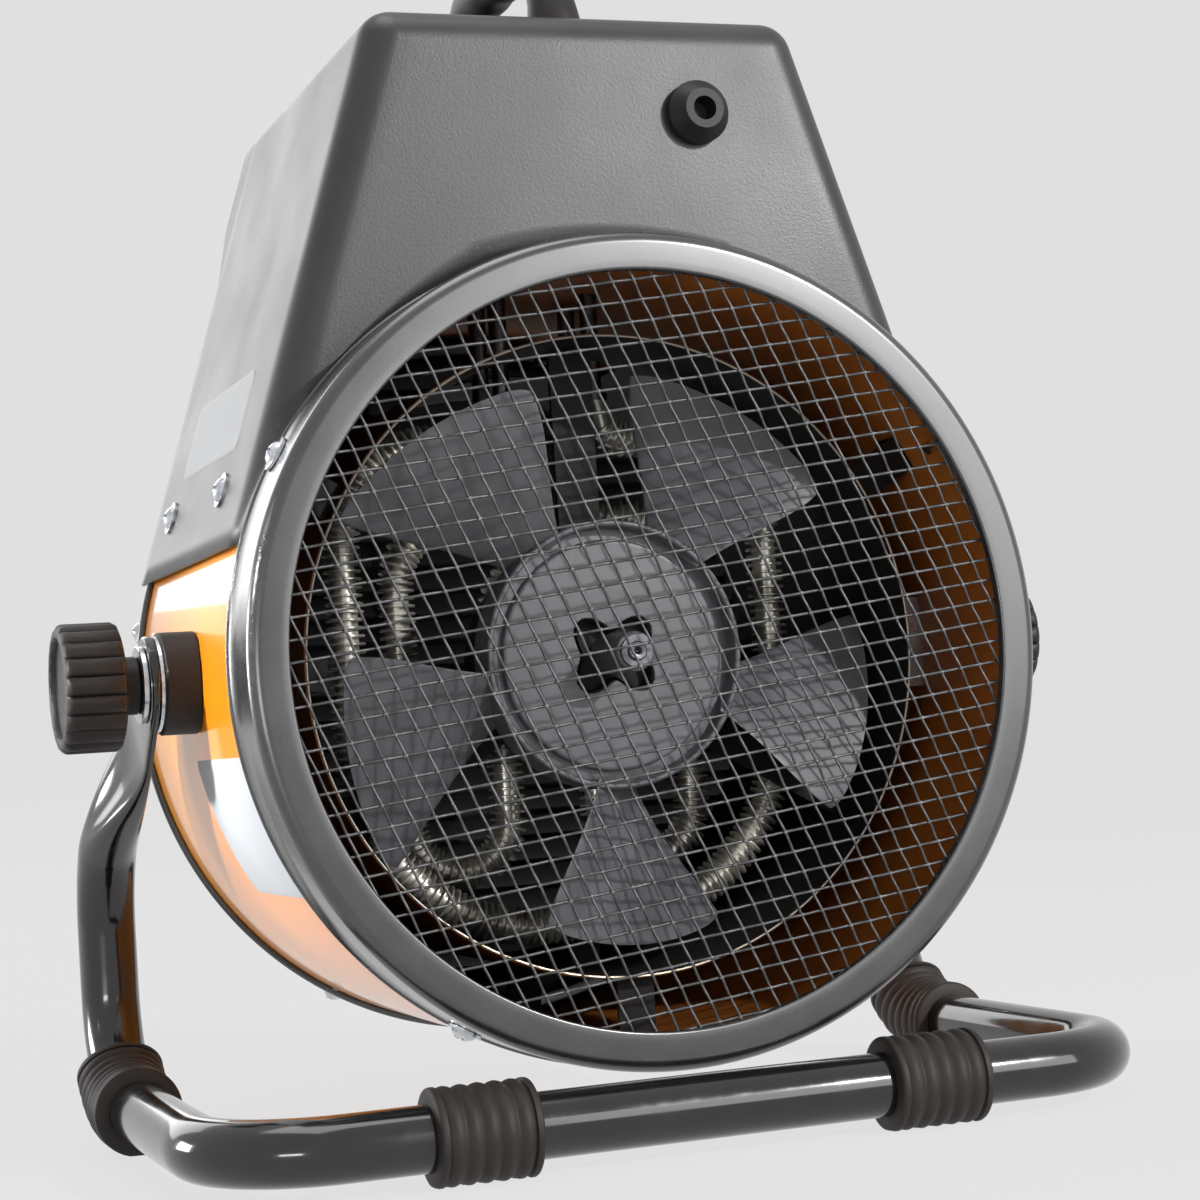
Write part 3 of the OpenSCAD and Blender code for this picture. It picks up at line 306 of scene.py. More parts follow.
def bright_zinc():
    """Bright zinc plate on steel fasteners: cool silver, slightly cloudy."""
    m, t, s, place = finish("bright zinc plate", {"Metallic": 1.0, "Roughness": 0.22})
    cloud = noise(t, place, 260.0, 4.0)
    t.links.new(tint(t, cloud, "#b9bcc2", "#e2e4e8", 0.35, 0.65), s.inputs["Base Color"])
    t.links.new(span(t, cloud, 0.16, 0.32, 0.3, 0.7), s.inputs["Roughness"])
    return m


def galvanised_wire():
    """Galvanised wire: dull, weathered grey. The brighter beads where wires cross have a finish of their own."""
    m, t, s, place = finish("galvanised wire", {"Metallic": 0.5, "Roughness": 0.42})
    cloud = noise(t, place, 420.0, 3.0)
    t.links.new(tint(t, cloud, "#464647", "#5e5e5f", 0.35, 0.65), s.inputs["Base Color"])
    return m


def heat_black_and_shade():
    """Heat-proof black on the inner sheet: dead matt, a little brown where it has been hot. Also painted shade in the
    fan's recess.
    """
    m, t, s, place = finish("heat-proof paint, matt black", {"Roughness": 0.66, "Specular IOR Level": 0.3})
    heat = noise(t, place, 22.0, 4.0)
    t.links.new(tint(t, heat, "#0b0b0b", "#151211", 0.35, 0.7), s.inputs["Base Color"])
    return m


def rolled_steel():
    """Bright rolled sheet inside the drum: brushed along its length, tinted straw by heat."""
    m, t, s, place = finish("rolled steel sheet", {"Metallic": 1.0, "Roughness": 0.38})
    long = add(t, "ShaderNodeMapping", {"Scale": (900.0, 25.0, 900.0)}, Vector=place).outputs["Vector"]
    lines = noise(t, long, 1.0, 2.0)
    heat = noise(t, place, 12.0, 2.0)
    t.links.new(tint(t, heat, "#8f8a84", "#b3a48f", 0.35, 0.7), s.inputs["Base Color"])
    t.links.new(span(t, lines, 0.28, 0.48), s.inputs["Roughness"])
    return m


def fan_paint():
    """Satin black paint on the pressed fan, which dust turns to a dark grey."""
    m, t, s, place = finish("satin paint, dusty black", {"Specular IOR Level": 0.75})
    dust = noise(t, place, 70.0, 6.0, Roughness=0.6)
    t.links.new(tint(t, dust, "#4e4e53", "#65656a", 0.4, 0.75), s.inputs["Base Color"])
    t.links.new(span(t, dust, 0.44, 0.58, 0.4, 0.7), s.inputs["Roughness"])
    return m


def finned_steel():
    """Nickel-plated finned tube: bright edges, straw and brown heat tint between the fins."""
    m, t, s, place = finish("nickel plate, heat tinted", {"Metallic": 0.6, "Roughness": 0.28})
    heat = noise(t, place, 90.0, 4.0)
    t.links.new(tint(t, heat, "#857f72", "#ece8de", 0.3, 0.6), s.inputs["Base Color"])
    return m


def moulded_black(name="moulded black plastic", low="#1a1716", high="#221e1d", dull=0.5):
    """Moulded matt plastic: fine spark-eroded grain, slightly brown in the light."""
    m, t, s, place = finish(name, {"Roughness": dull, "Specular IOR Level": 0.35})
    grain = noise(t, place, 1100.0, 2.0)
    cloud = noise(t, place, 50.0, 3.0)
    t.links.new(tint(t, cloud, low, high, 0.35, 0.65), s.inputs["Base Color"])
    rough(t, s, grain, 0.25, 0.0002)
    return m


def plain(name, low, high, settings, scale=60.0):
    """A simple finish with a cloudy change between two colours."""
    m, t, s, place = finish(name, settings)
    cloud = noise(t, place, scale, 4.0)
    t.links.new(tint(t, cloud, low, high, 0.35, 0.65), s.inputs["Base Color"])
    return m


orange = gloss_enamel()
satin = satin_enamel()
powder = powder_coat()
gloss = gloss_black()
zinc = bright_zinc()
wire = galvanised_wire()
steel = rolled_steel()
knot_zinc = plain("zinc beads, bright", "#6f6e6d", "#8c8b8a", {"Metallic": 0.3, "Roughness": 0.5}, 420.0)
dark_steel = plain("oiled turned steel", "#55565a", "#707176", {"Metallic": 1.0, "Roughness": 0.38}, 300.0)
# The drum's inside: a darker, browner copy of the orange enamel, painted shade for the dim inside of the drum.
shaded_orange = plain("orange with painted shade, inside of drum", "#a85e24", "#c4742e", {"Roughness": 0.5}, 20.0)
matt_black_and_shade = heat_black_and_shade()
fan_black = fan_paint()
fins = finned_steel()
plastic = moulded_black()
# The spacers' plastic: a darker copy of the knob plastic, painted shade on the spacers between drum and knob.
shaded_spacer_plastic = moulded_black("black plastic, darker as painted shade", "#0e0b0a", "#130f0d", 0.55)
rubber = moulded_black("moulded rubber", "#221d1b", "#2f2926", 0.58)
guard_paint = plain("baked paint, black wire", "#1a1a1b", "#232324", {"Roughness": 0.45})
ivory = plain("urea plastic, ivory", "#d8d2be", "#e4dfcd", {"Roughness": 0.45})
porcelain = plain("glazed porcelain", "#e8e6df", "#f2f0ea", {"Roughness": 0.15, "Coat Weight": 0.5})
clear_plastic = {"Roughness": 0.08, "Transmission Weight": 0.35, "IOR": 1.49}
lens = plain("clear red lens", "#9c1410", "#b81a12", clear_plastic)
lead_sleeve = plain("glass-fibre sleeve, red", "#7d2a1c", "#933524", {"Roughness": 0.7}, 300.0)
foil = plain("blank foil sticker", "#7a7c7f", "#7f8184", {"Metallic": 0.2, "Roughness": 0.42}, 30.0)
matt_paper = {"Roughness": 0.6, "Specular IOR Level": 0.2}
paper = plain("blank paper sticker", "#aeb2b6", "#b3b7bb", matt_paper, 30.0)
white_ink = plain("printed marks, white", "#d9d9d6", "#e4e4e1", {"Roughness": 0.5}, 200.0)

finishes = {
    "drum_orange": orange,
    "powder_black": powder,
    "ring_black": satin,
    "wire_grey": wire,
    "wire_black": guard_paint,
    "shield_steel": matt_black_and_shade,
    "fan_black": fan_black,
    "bright_steel": zinc,
    "element_steel": fins,
    "motor_steel": matt_black_and_shade,
    "knob_black": plastic,
    "handle_black": plastic,
    "switch_ivory": ivory,
    "ceramic_white": porcelain,
    "lamp_red": lens,
    "lead_red": lead_sleeve,
    "stand_black": gloss,
    "foot_rubber": rubber,
}
# Two nodes have a darker steel than the others of their slot
own_finish = {"fan_clip": dark_steel, "motor_bolts": dark_steel}
slot_of = {part["node"]: part["material_slot"] for part in frame["record"]["subparts"]}
for node, obj in frame["nodes"].items():
    for material_slot in obj.material_slots:
        material_slot.material = own_finish.get(node, finishes[slot_of[node]])


# ---------------------------------------------------------------- drum and rings


def ring_profile(opening, skirt):
    """Pressed ring of 1 mm sheet: lip turned 3 mm in with an edge of 0.8 mm, flat face, outer edge of 4 mm, straight
    skirt and a hem rolled outwards to a bead of 0.8 mm."""
    lip_r, edge_r, bead_r = 0.8, 4.0, 0.8
    lip = arc(opening + lip_r, lip_r, lip_r, 180, 270, 6)
    edge = arc(RING_R - edge_r, edge_r, edge_r, -90, 0, 16)
    bead = arc(RING_R, skirt - bead_r, bead_r, -80, 90, 8)
    turned_in = [[opening + 1, 3.0], [opening, 3.0]]
    straight = [[RING_R, 0.5 * skirt], [RING_R, skirt - 1.8]]
    skirt_inside = [[RING_R - 1, skirt], [RING_R - 1, 0.5 * skirt], [RING_R - 1, 4.0]]
    face_inside = [[RING_R - 2.2, 1.9], [RING_R - 4, 1.0], [opening + 3, 1.0], [opening + 1, 1.2]]
    return np.vstack([turned_in, lip, [[opening + 3.0, 0.0]], edge, straight, bead, skirt_inside, face_inside])


def drum_layer(inner, outer):
    """Profile of one face of the drum's sheet: it runs between the two rings, with two rows of points on the way."""
    rear, front = 4.4, 180.3
    way_out = [[inner, rear], [outer, rear], [outer, 60], [outer, 120], [outer, front]]
    return way_out + [[inner, front], [inner, 120], [inner, 60]]


back_ring = lathe(ring_profile(INTAKE_R, 28.0), 256)
piece("intake_ring_pressing", [back_ring], satin, "heater", ["intake_ring"])
front_profile = ring_profile(OUTLET_R, 10.0)
front_profile[:, 1] = DRUM_L - front_profile[:, 1]
front_ring = lathe(front_profile, 256)
piece("outlet_ring_pressing", [front_ring], satin, "heater", ["outlet_ring"])

skin = lathe(drum_layer(DRUM_R - 0.5, DRUM_R), 320)
piece("drum_skin", [skin], orange, "heater", ["drum_shell"])
# The inner face of the drum's sheet takes the darker orange, which is painted shade.
inner_face = lathe(drum_layer(DRUM_R - DRUM_SHEET, DRUM_R - 0.51), 320)
piece("drum_inner_face", [inner_face], shaded_orange, "heater", ["drum_shell"])
shield_hem = ring_section(0.55, 8) + [99.55, 38.0]
piece("shield_hem", [lathe(shield_hem, 192)], steel, "heater", ())

# ---------------------------------------------------------------- mesh and guard


MESH_PITCH = 6.35
MESH_ANGLES = -7, 67  # directions of the two sets of wires, in degrees from across towards up
MESH_SHIFT = 0.3  # distance of the first wire from the axis, in pitches


def mesh_axes():
    """Directions of the two sets of wires, the way between crossings along a wire, and the cosine of their slant."""
    first, second = np.radians(MESH_ANGLES)
    slant = second - first
    directions = [np.array([np.cos(a), np.sin(a)]) for a in (first, second)]
    return *directions, MESH_PITCH / np.sin(slant), np.cos(slant)


def woven(radius, wire_r, wave, depth):
    """Two sets of parallel wires that cross at a slant. A wire's height is wave * cos(pi * (place / step + number)),
    with the sign turned for the other set, so each wire goes over one and under the next."""
    one, other, step, slant = mesh_axes()
    count = int(radius / MESH_PITCH)
    number = np.arange(-count, count + 1) + MESH_SHIFT
    half = np.sqrt(np.maximum(radius**2 - (number * MESH_PITCH) ** 2, 1.0))
    place = (-number * step * slant)[:, None] + half[:, None] * np.linspace(-1, 1, 150)[None]
    phase = np.pi * (place / step - MESH_SHIFT + number[:, None] - MESH_SHIFT)
    a = full_turn(6)
    shapes = []
    for along, across, sign in ((one, other, 1), (other, one, -1)):
        flat = number[:, None, None] * step * across + place[..., None] * along
        normal = np.array([-along[1], along[0]])
        ring = flat[:, :, None] + wire_r * np.cos(a)[:, None] * normal
        height = (sign * wave * np.cos(phase))[..., None] + wire_r * np.sin(a)
        shapes.append(sheets(at(ring[..., 0], ring[..., 1], depth + height), wrap_v=True))
    return shapes


def zinc_beads(radius, depth):
    """Flattened beads of 1.56 by 1.24 mm where the two sets of wires cross."""
    one, other, step, _ = mesh_axes()
    number = np.arange(-25, 26) + MESH_SHIFT
    spot = (number[:, None, None] * step * one + number[None, :, None] * step * other).reshape(-1, 2)
    spot = spot[np.linalg.norm(spot, axis=1) < radius]
    rise = np.radians([-90, -35, 35, 90])[:, None]
    round_ = np.radians(np.arange(0, 360, 60))[None]
    wide, high = 0.78, 0.62
    x = spot[:, :1, None] + wide * np.cos(rise) * np.cos(round_)
    y = spot[:, 1:, None] + wide * np.cos(rise) * np.sin(round_)
    z = np.broadcast_to(depth + high * np.sin(rise), (4, 6))
    return sheets(at(x, y, z), wrap_v=True)


mesh_wires = woven(121.5, 0.45, 0.4, 3.75)
piece("woven_wire_mesh", mesh_wires, wire, "heater", ["intake_mesh"], 80)
piece("zinc_knots", [zinc_beads(112.5, 3.5)], knot_zinc, "heater", (), 80)


def rod(start, end, radius, sides=12):
    """A straight round bar between two places (metres), closed at both ends."""
    path = np.stack([start, end])
    side = np.cross(end - start, [0.31, 0.47, 0.83])
    return sheet(capped(carried(path, side, ring_section(radius * 0.001, sides))), wrap_v=True)


def slats():
    """Pressed slats 9 mm apart, 1.24 mm high at each depth. Each runs across the opening inside a circle of 111.4 mm,
    and slopes down 9.9 mm over a depth of 9.9 mm."""
    pitch, reach, circle_r, rear = 9.0, 9.9, 111.4, 176.0
    up = pitch * np.arange(-12, 13)[:, None, None]
    step = reach * np.array([0.0, 0.12, 0.5, 0.88, 1.0])
    line = np.vstack([np.column_stack([step, 4.94 - step]), np.column_stack([step, 3.7 - step])[::-1]])
    height = np.clip(up + line[None, None, :, 1], -111.3, 111.3)
    x = np.sqrt(circle_r**2 - height**2) * np.linspace(-1, 1, 9)[None, :, None]
    return sheets(ends_closed(at(x, height, rear + line[None, None, :, 0])), wrap_v=True)


GUARD_DEPTH = 181.65
guard_section = np.array([
    [110.6, -1.15], [111.0, -1.28], [116.6, -1.28], [116.95, -0.95],
    [116.95, 0.95], [116.6, 1.28], [111.0, 1.28], [110.6, 1.15],
])
guard_ring = lathe(guard_section + [0, GUARD_DEPTH], 160)
posts = [rod(at(x, -105.0, GUARD_DEPTH), at(x, 105.0, GUARD_DEPTH), 1.3) for x in (-37.33, 37.33)]
guard_shapes = [slats(), guard_ring] + posts
piece("slatted_outlet_guard", guard_shapes, guard_paint, "heater", ["outlet_guard"], 50)

# ---------------------------------------------------------------- fan


def blade(turn):
    """One pressed blade. Along the radius (t from 0 to 1) the half angle grows as 11 + 11 sin(90 t) degrees, and the
    pitch falls from 38 to 20 degrees. Along its width (s from -1 to 1) the tip is drawn in by
    (0.035 (1 + s) + 0.02 |s|^12) t^2."""
    t = np.linspace(0, 1, 28)[:, None]
    around = full_turn(56)[None]
    s = np.cos(around)
    thick = np.sign(np.sin(around)) * np.abs(np.sin(around)) ** 0.5
    half = 11 + 11 * np.sin(np.pi / 2 * t)
    radius = 39 + 55 * t
    along = radius * np.radians(half * s)
    rise = -along * np.tan(np.radians(38 - 18 * t)) + 3 * s * s * t + thick * (1.0 - 0.35 * t)
    reach = radius * (1 - (0.035 * (1 + s) + 0.02 * np.abs(s) ** 12) * t * t)
    points = turned(reach, turn + half * s - 3 * t, 48 + rise)
    return sheet(capped(points), wrap_v=True)


face_line = np.column_stack([np.linspace(6.5, 20, 28), np.linspace(48.6, 43.2, 28)])
groove_edge = arc(35.0, 45.0, 1.2, 90, 0, 5) * [1, -1] + [0, 90]
hub_line = np.vstack([
    arc(41.0, 42.0, 1.0, 180, 360, 8),
    [[42, 46], [42, 55], [39.6, 55], [39.5, 49.5], [3.1, 49.5], [3.1, 24.2]],
    arc(5.4, 24.9, 0.8, 270, 360, 5),
    [[6.2, 40], [6.2, 48.6]],
    face_line,
    [[26, 43.3], [34.5, 43.8]],
    groove_edge,
    [[36.3, 46.4], [39.4, 46.6], [40, 45.6]],
])


def recess(angle):
    """Outline of the cast recess round the boss: 11.7 + 1.6 cos 2a - 2.9 cos 4a mm, with four blunt points."""
    return 11.7 + 1.6 * np.cos(np.radians(2 * angle)) - 2.9 * np.cos(np.radians(4 * angle))


HUB_ANGLES = np.linspace(0, 360, 256, endpoint=False)[:, None]


def hub():
    """The hub as a lathe. Its face between the boss and 20 mm is flat, and sunk by 5 mm inside the recess."""
    face_depth, sink, edge = 43.1, 5.0, 0.7
    radius, depth = hub_line.T[:, None]
    face = (radius >= face_line[0, 0]) & (radius <= face_line[-1, 0])
    sunk = face_depth + sink * np.clip((recess(HUB_ANGLES) + 0.5 - radius) / edge + 0.5, 0, 1)
    return sheet(turned(radius, HUB_ANGLES, np.where(face, sunk, depth)), wrap_u=True, wrap_v=True)


def painted_shade_cup():
    """A thin cup of dead-black paint lining the recess, painted shade for its dark hollow: its rim follows the
    outline, and its bottom lies 4.6 mm below the rim.
    """
    wide = recess(HUB_ANGLES)
    boss = 6.3 + 0 * wide
    radius = np.hstack([wide - 0.05, wide - 0.35, wide - 0.4, boss, boss, wide - 0.02])
    depth = np.array([[43.2, 43.5, 47.8, 47.8, 48.0, 48.0]])
    return sheet(turned(radius, HUB_ANGLES, depth), wrap_u=True, wrap_v=True)


fan_shapes = [blade(55 + 72 * k) for k in range(5)] + [hub()]
piece("pressed_fan", fan_shapes, fan_black, "fan", ["fan"], 40)
# The recess is lined in dead-black paint as painted shade.
piece("hub_recess_painted_shade", [painted_shade_cup()], matt_black_and_shade, "fan", (), 40)

shaft_tip = [[0, 23.6], [0.5, 23.1], [1.2, 22.1], [1.5, 22.0], [2.6, 22.0], [3.0, 22.4]]
shaft = lathe(shaft_tip + [[3.0, 50], [3.0, 82.9], [0.0, 82.9]], 48, closed=False)
piece("turned_shaft", [shaft], dark_steel, "fan", ["fan_shaft"], 30)

# ---------------------------------------------------------------- heating elements


def mirrored(right):
    """A line from one end to the middle, and back to the other end on the other side."""
    return np.vstack([right, right[-2::-1] * [-1, 1]])


def outer_line():
    """Middle line of the outer loop, open at the top: out from its end, round a corner of 34 mm, down, round a wide
    sweep of 60 mm, along below and up again."""
    upper = [[[16, 87.5]], arc(26, 83.5, 10, 180, 270, 8), arc(39.5, 39.5, 34, 90, 0, 14)]
    return mirrored(np.vstack(upper + [arc(13.5, -25, 60, 0, -90, 28), [[0, -85]]]))


def inner_line():
    """Middle line of the inner element: out from its end, round a corner of 22 mm, down, round a narrow bend of
    17 mm, up beside the middle and over an arch of 16 mm, and the same on the other side."""
    upper = [[[16, 63.98]], arc(26, 59.98, 10, 180, 270, 8), arc(28, 28, 22, 90, 0, 12)]
    return mirrored(np.vstack(upper + [arc(33, -50, 17, 0, -180, 18), arc(0, 18, 16, 0, 90, 10)]))


def finned(line, depth):
    """A tube of 8.4 mm with rounded fins of 12.5 mm, 2.6 mm apart, between plain ends of 7 mm. The section's radius
    steps out and back along the path, whose direction is taken over 2 mm each way so that steps stay square to it."""
    tube_r, pitch, plain_end = 4.2, 2.6, 7
    run = run_of(line)
    count = int((run[-1] - 2 * plain_end) / pitch)
    place = plain_end + pitch * np.arange(count)[:, None] + np.array([0.0, 0.08, 0.25, 0.75, 0.92, 1.0])[None]
    place = np.concatenate([[0.0], place.ravel(), [run[-1]]])
    radius = np.concatenate([[tube_r], np.tile([tube_r, 5.9, 6.25, 6.25, 5.9, tube_r], count), [tube_r]])
    step = unit(along_line(place + 2, run, line) - along_line(place - 2, run, line))
    tangent = np.stack([step[:, 0], 0 * step[:, 0], step[:, 1]], -1)
    path = at(*along_line(place, run, line).T, depth)
    side = np.broadcast_to([0.0, 1.0, 0.0], path.shape)
    lift = np.cross(tangent, side)
    section = ring_section(0.001, 14)[None] * radius[:, None, None]
    points = path[:, None] + side[:, None] * section[..., :1] + lift[:, None] * section[..., 1:]
    return sheet(capped(points), wrap_v=True)


def pins(low, depth):
    """The plain ends that go up through the drum, with a small step where the tube ends. low is where they start."""
    top = 142.3
    shapes = []
    for x in (-16, 16):
        shapes.append(rod(at(x, low, depth), at(x, top, depth), 3.0, 20))
        shapes.append(rod(at(x, low - 0.5, depth), at(x, low + 2, depth), 4.6, 20))
    return shapes


OUTER_DEPTH = 90
INNER_DEPTH = 112
for word, line, depth in (("outer", outer_line(), OUTER_DEPTH), ("inner", inner_line(), INNER_DEPTH)):
    piece(f"finned_loop_{word}", [finned(line, depth)], fins, "heater", [f"{word}_element"], 30)
ends = pins(86.5, OUTER_DEPTH) + pins(62.98, INNER_DEPTH)
piece("element_pins", ends, dark_steel, "heater", ["outer_element", "inner_element"], 30)

# ---------------------------------------------------------------- box

WALL_R = 126.3  # distance of the sloping walls from the axis
SLOPE_ANGLE = 17.5  # how far the walls lean inwards, in degrees
SLOPE = np.radians(SLOPE_ANGLE)
BOX_TOP = 200.0
FOOT_UP = 38.0  # how high over the axis the walls end
CORNER = 11.0  # radius of the top edges and of the rear fold
CORE_R = WALL_R - CORNER
# Place of the top corner's middle: along the slope, and across
TOP_S = (BOX_TOP - CORNER - CORE_R * np.sin(SLOPE)) / np.cos(SLOPE)
CORNER_X = CORE_R * np.cos(SLOPE) - TOP_S * np.sin(SLOPE)
BOX_REAR = 29.0
BOX_CLEAR_R = 125.35  # the box's sheet stays outside this circle, clear of the drum and the ring


def wall_place(radius, s):
    """Across and up of a place on a sloping wall, from its distance from the axis along the wall's normal and the way
    up the slope from the foot of that normal."""
    return radius * np.cos(SLOPE) - s * np.sin(SLOPE), radius * np.sin(SLOPE) + s * np.cos(SLOPE)


def box_line(inset):
    """Outline of the box seen along the drum, from the foot of one wall over the top to the other foot, drawn in by
    inset. Points follow the outline: wall, corner arc of radius 11 - inset, top."""
    r = np.maximum(CORNER - inset, 0.0)
    base = CORE_R + r
    foot = (FOOT_UP - base * np.sin(SLOPE)) / np.cos(SLOPE)
    wall = np.stack(wall_place(base, foot + (TOP_S - foot) * np.linspace(0, 1, 24)), -1)
    corner = arc(CORNER_X, BOX_TOP - CORNER, r, SLOPE_ANGLE, 90, 14)
    top = np.stack([CORNER_X * (1 - np.linspace(0, 1, 12)), np.full(12, BOX_TOP - CORNER + r)], -1)
    return mirrored(np.vstack([wall, corner[1:], top[1:]]))


def cover_points():
    """The folded cover: its side runs from the front edge to the rear fold of radius 11, and its rear wall goes on
    from the fold to the drum. Anything nearer the axis than the drum's clearance circle is moved out to it."""
    side = box_line(0.0)
    depths = np.concatenate([np.linspace(186, 176, 3), np.linspace(160, 48, 8), [42, BOX_REAR + CORNER]])
    rows = [np.column_stack([side, np.full(len(side), depth)]) for depth in depths]
    for a in np.radians(np.linspace(0, 90, 12)[1:]):
        line = box_line(CORNER * (1 - np.cos(a)))
        rows.append(np.column_stack([line, np.full(len(line), BOX_REAR + CORNER - CORNER * np.sin(a))]))
    edge = rows[-1][:, :2]
    angle = np.arctan2(edge[:, 1], edge[:, 0])
    low = BOX_CLEAR_R * np.stack([np.cos(angle), np.sin(angle)], -1)
    for f in np.linspace(0, 1, 9)[1:]:
        rows.append(np.column_stack([edge * (1 - f) + low * f, np.full(len(edge), BOX_REAR)]))
    grid = np.array(rows)
    radius = np.linalg.norm(grid[..., :2], axis=-1, keepdims=True)
    grid[..., :2] *= np.maximum(radius, BOX_CLEAR_R) / radius
    return at(grid[..., 0], grid[..., 1], grid[..., 2])


cover_shape = [sheet(cover_points())]
cover = piece("folded_box_cover", cover_shape, powder, "heater", ["box_cover"], 50, outward=False)


def thicken(obj, wall):
    """Gives a sheet its thickness in millimetres, inwards."""
    solid = obj.modifiers.new("sheet thickness", "SOLIDIFY")
    solid.thickness = wall * 0.001
    solid.offset = -1
    solid.use_even_offset = False


def face_out(obj, middle):
    """Turns an open sheet's faces round if they look towards a point inside it."""
    mesh = obj.data
    normals = np.empty(len(mesh.polygons) * 3)
    centres = np.empty(len(mesh.polygons) * 3)
    mesh.polygons.foreach_get("normal", normals)
    mesh.polygons.foreach_get("center", centres)
    away = (normals.reshape(-1, 3) * (centres.reshape(-1, 3) - middle)).sum()
    if away < 0:
        mesh.flip_normals()


box_middle = at(0, 120, 110).ravel()
face_out(cover, box_middle)
thicken(cover, 1.0)

# ---------------------------------------------------------------- marks round the control knobs


KNOB_X = 36
KNOB_UP = 182
MARK_R = 14.8
PANEL_FACE = 200.0


def dial_marks(across, angles, long):
    """Plain bars 0.9 mm wide and 0.1 mm thick on the panel's face, round a knob's middle, at angles in degrees from
    across towards up. They are closed at the end next to the knob."""
    a = np.radians(np.asarray(angles, float))[:, None, None]
    reach = np.array([MARK_R, MARK_R + long])[None, :, None]
    wide = 0.45 * np.array([-1, 1, 1, -1])[None, None]
    depth = PANEL_FACE + np.array([0.06, 0.06, -0.05, -0.05])[None, None]
    x = across + reach * np.cos(a) - wide * np.sin(a)
    up = KNOB_UP + reach * np.sin(a) + wide * np.cos(a)
    bars = at(x, up, depth)
    near = bars[:, :1].mean(axis=2, keepdims=True) + 0 * bars[:, :1]
    return sheets(np.concatenate([near, bars], axis=1), wrap_v=True)


marks = [
    dial_marks(-KNOB_X, [90, 45, 0, -45], 1.9),
    dial_marks(KNOB_X, np.arange(225, -46, -45), 1.9),
    dial_marks(KNOB_X, np.arange(202.5, -23, -45), 1.0),
]
piece("dial_marks", marks, white_ink, "heater", (), 30)

# ---------------------------------------------------------------- blank stickers


def sticker(place, low, high, corner, lift, steps=41):
    """A thin rectangle with corners of the given radius on a curved or sloping face. place turns two coordinates in
    millimetres and a height above the face into metres. Near both ends the rows get shorter by
    corner - (corner^2 - d^2)^0.5, and all four edges come down to 0.02 mm."""
    f = np.linspace(0, 1, steps)
    u = low[0] + (high[0] - low[0]) * f[:, None]
    d = np.maximum(corner - np.minimum(u - low[0], high[0] - u), 0)
    cut = corner - np.sqrt(np.maximum(corner**2 - d**2, 0))
    v = low[1] + cut + (high[1] - low[1] - 2 * cut) * f[None]
    height = np.full(v.shape, lift)
    height[:, [0, -1]] = height[[0, -1]] = 0.02
    return sheet(place(u + 0 * v, v, height))


def on_wall(depth, s, lift):
    """A place on the box's left wall: depth, way up the slope from the foot of the normal, height above the wall."""
    return at(*wall_place(WALL_R + lift, s), depth)


def on_drum(depth, arc_mm, lift):
    """A place on the drum: depth, way round from the level of the axis in millimetres, height above the skin."""
    return turned(DRUM_R + lift, np.degrees(arc_mm / DRUM_R), depth)


wall_shape = [sticker(on_wall, (66.0, 34.0), (154.0, 60.0), 4, 0.16)]
piece("wall_sticker", wall_shape, foil, "heater", (), 50, outward=False)
drum_shape = [sticker(on_drum, (30.0, -71.0), (102.0, -24.6), 2, 0.14)]
piece("drum_sticker", drum_shape, paper, "heater", (), 50, outward=False)

# ---------------------------------------------------------------- stand

TUBE_X = 143.5
TUBE_R = 9.5
RUN_H = 13.5  # the floor run's middle line over the floor
ARM_ANGLE = 49.0
ARM_BEND = 40.0  # radius of the bend below the sloping arm
ARM_BEND_AT = -30.0, 67.912
FLOOR_BEND = 35.0
FLOOR_BEND_AT = -35.0, 48.5
REAR_RUN = 100.5


def stand_line():
    """Middle line of one arm in its side plane (place behind the tilt axis, height above the floor), from the end by
    the tilt axis down the slope, round the 40 mm bend, down, round the 35 mm floor bend and back along the floor."""
    past_axis = 15  # how far the flattened end reaches beyond the tilt axis
    arm = np.radians(ARM_ANGLE)
    start = np.array(ARM_BEND_AT) + ARM_BEND * np.array([-np.cos(arm), np.sin(arm)])
    f = np.linspace(0, 1, 46)[:-1, None]
    tip = np.array([past_axis * np.sin(arm), AXIS_Z + past_axis * np.cos(arm)])
    return np.vstack([
        tip * (1 - f) + start * f,
        arc(*ARM_BEND_AT, ARM_BEND, 180 - ARM_ANGLE, 180, 14),
        arc(*FLOOR_BEND_AT, FLOOR_BEND, 180, 270, 18),
        np.stack([np.linspace(-30, 60, 10), np.full(10, RUN_H)], -1),
    ])


def stand_path():
    """The whole tube: one arm, a 35 mm corner, the cross tube, and the same mirrored."""
    side = stand_line()
    arm = np.column_stack([np.full(len(side), TUBE_X), side])
    corner = arc(TUBE_X - FLOOR_BEND, REAR_RUN - FLOOR_BEND, FLOOR_BEND, 0, 90, 16)
    corner = np.column_stack([corner, np.full(len(corner), RUN_H)])
    cross = [[x, REAR_RUN, RUN_H] for x in (80, 40, 0)]
    right = np.vstack([arm, corner, cross])
    return np.vstack([right, right[-2::-1] * [-1, 1, 1]])


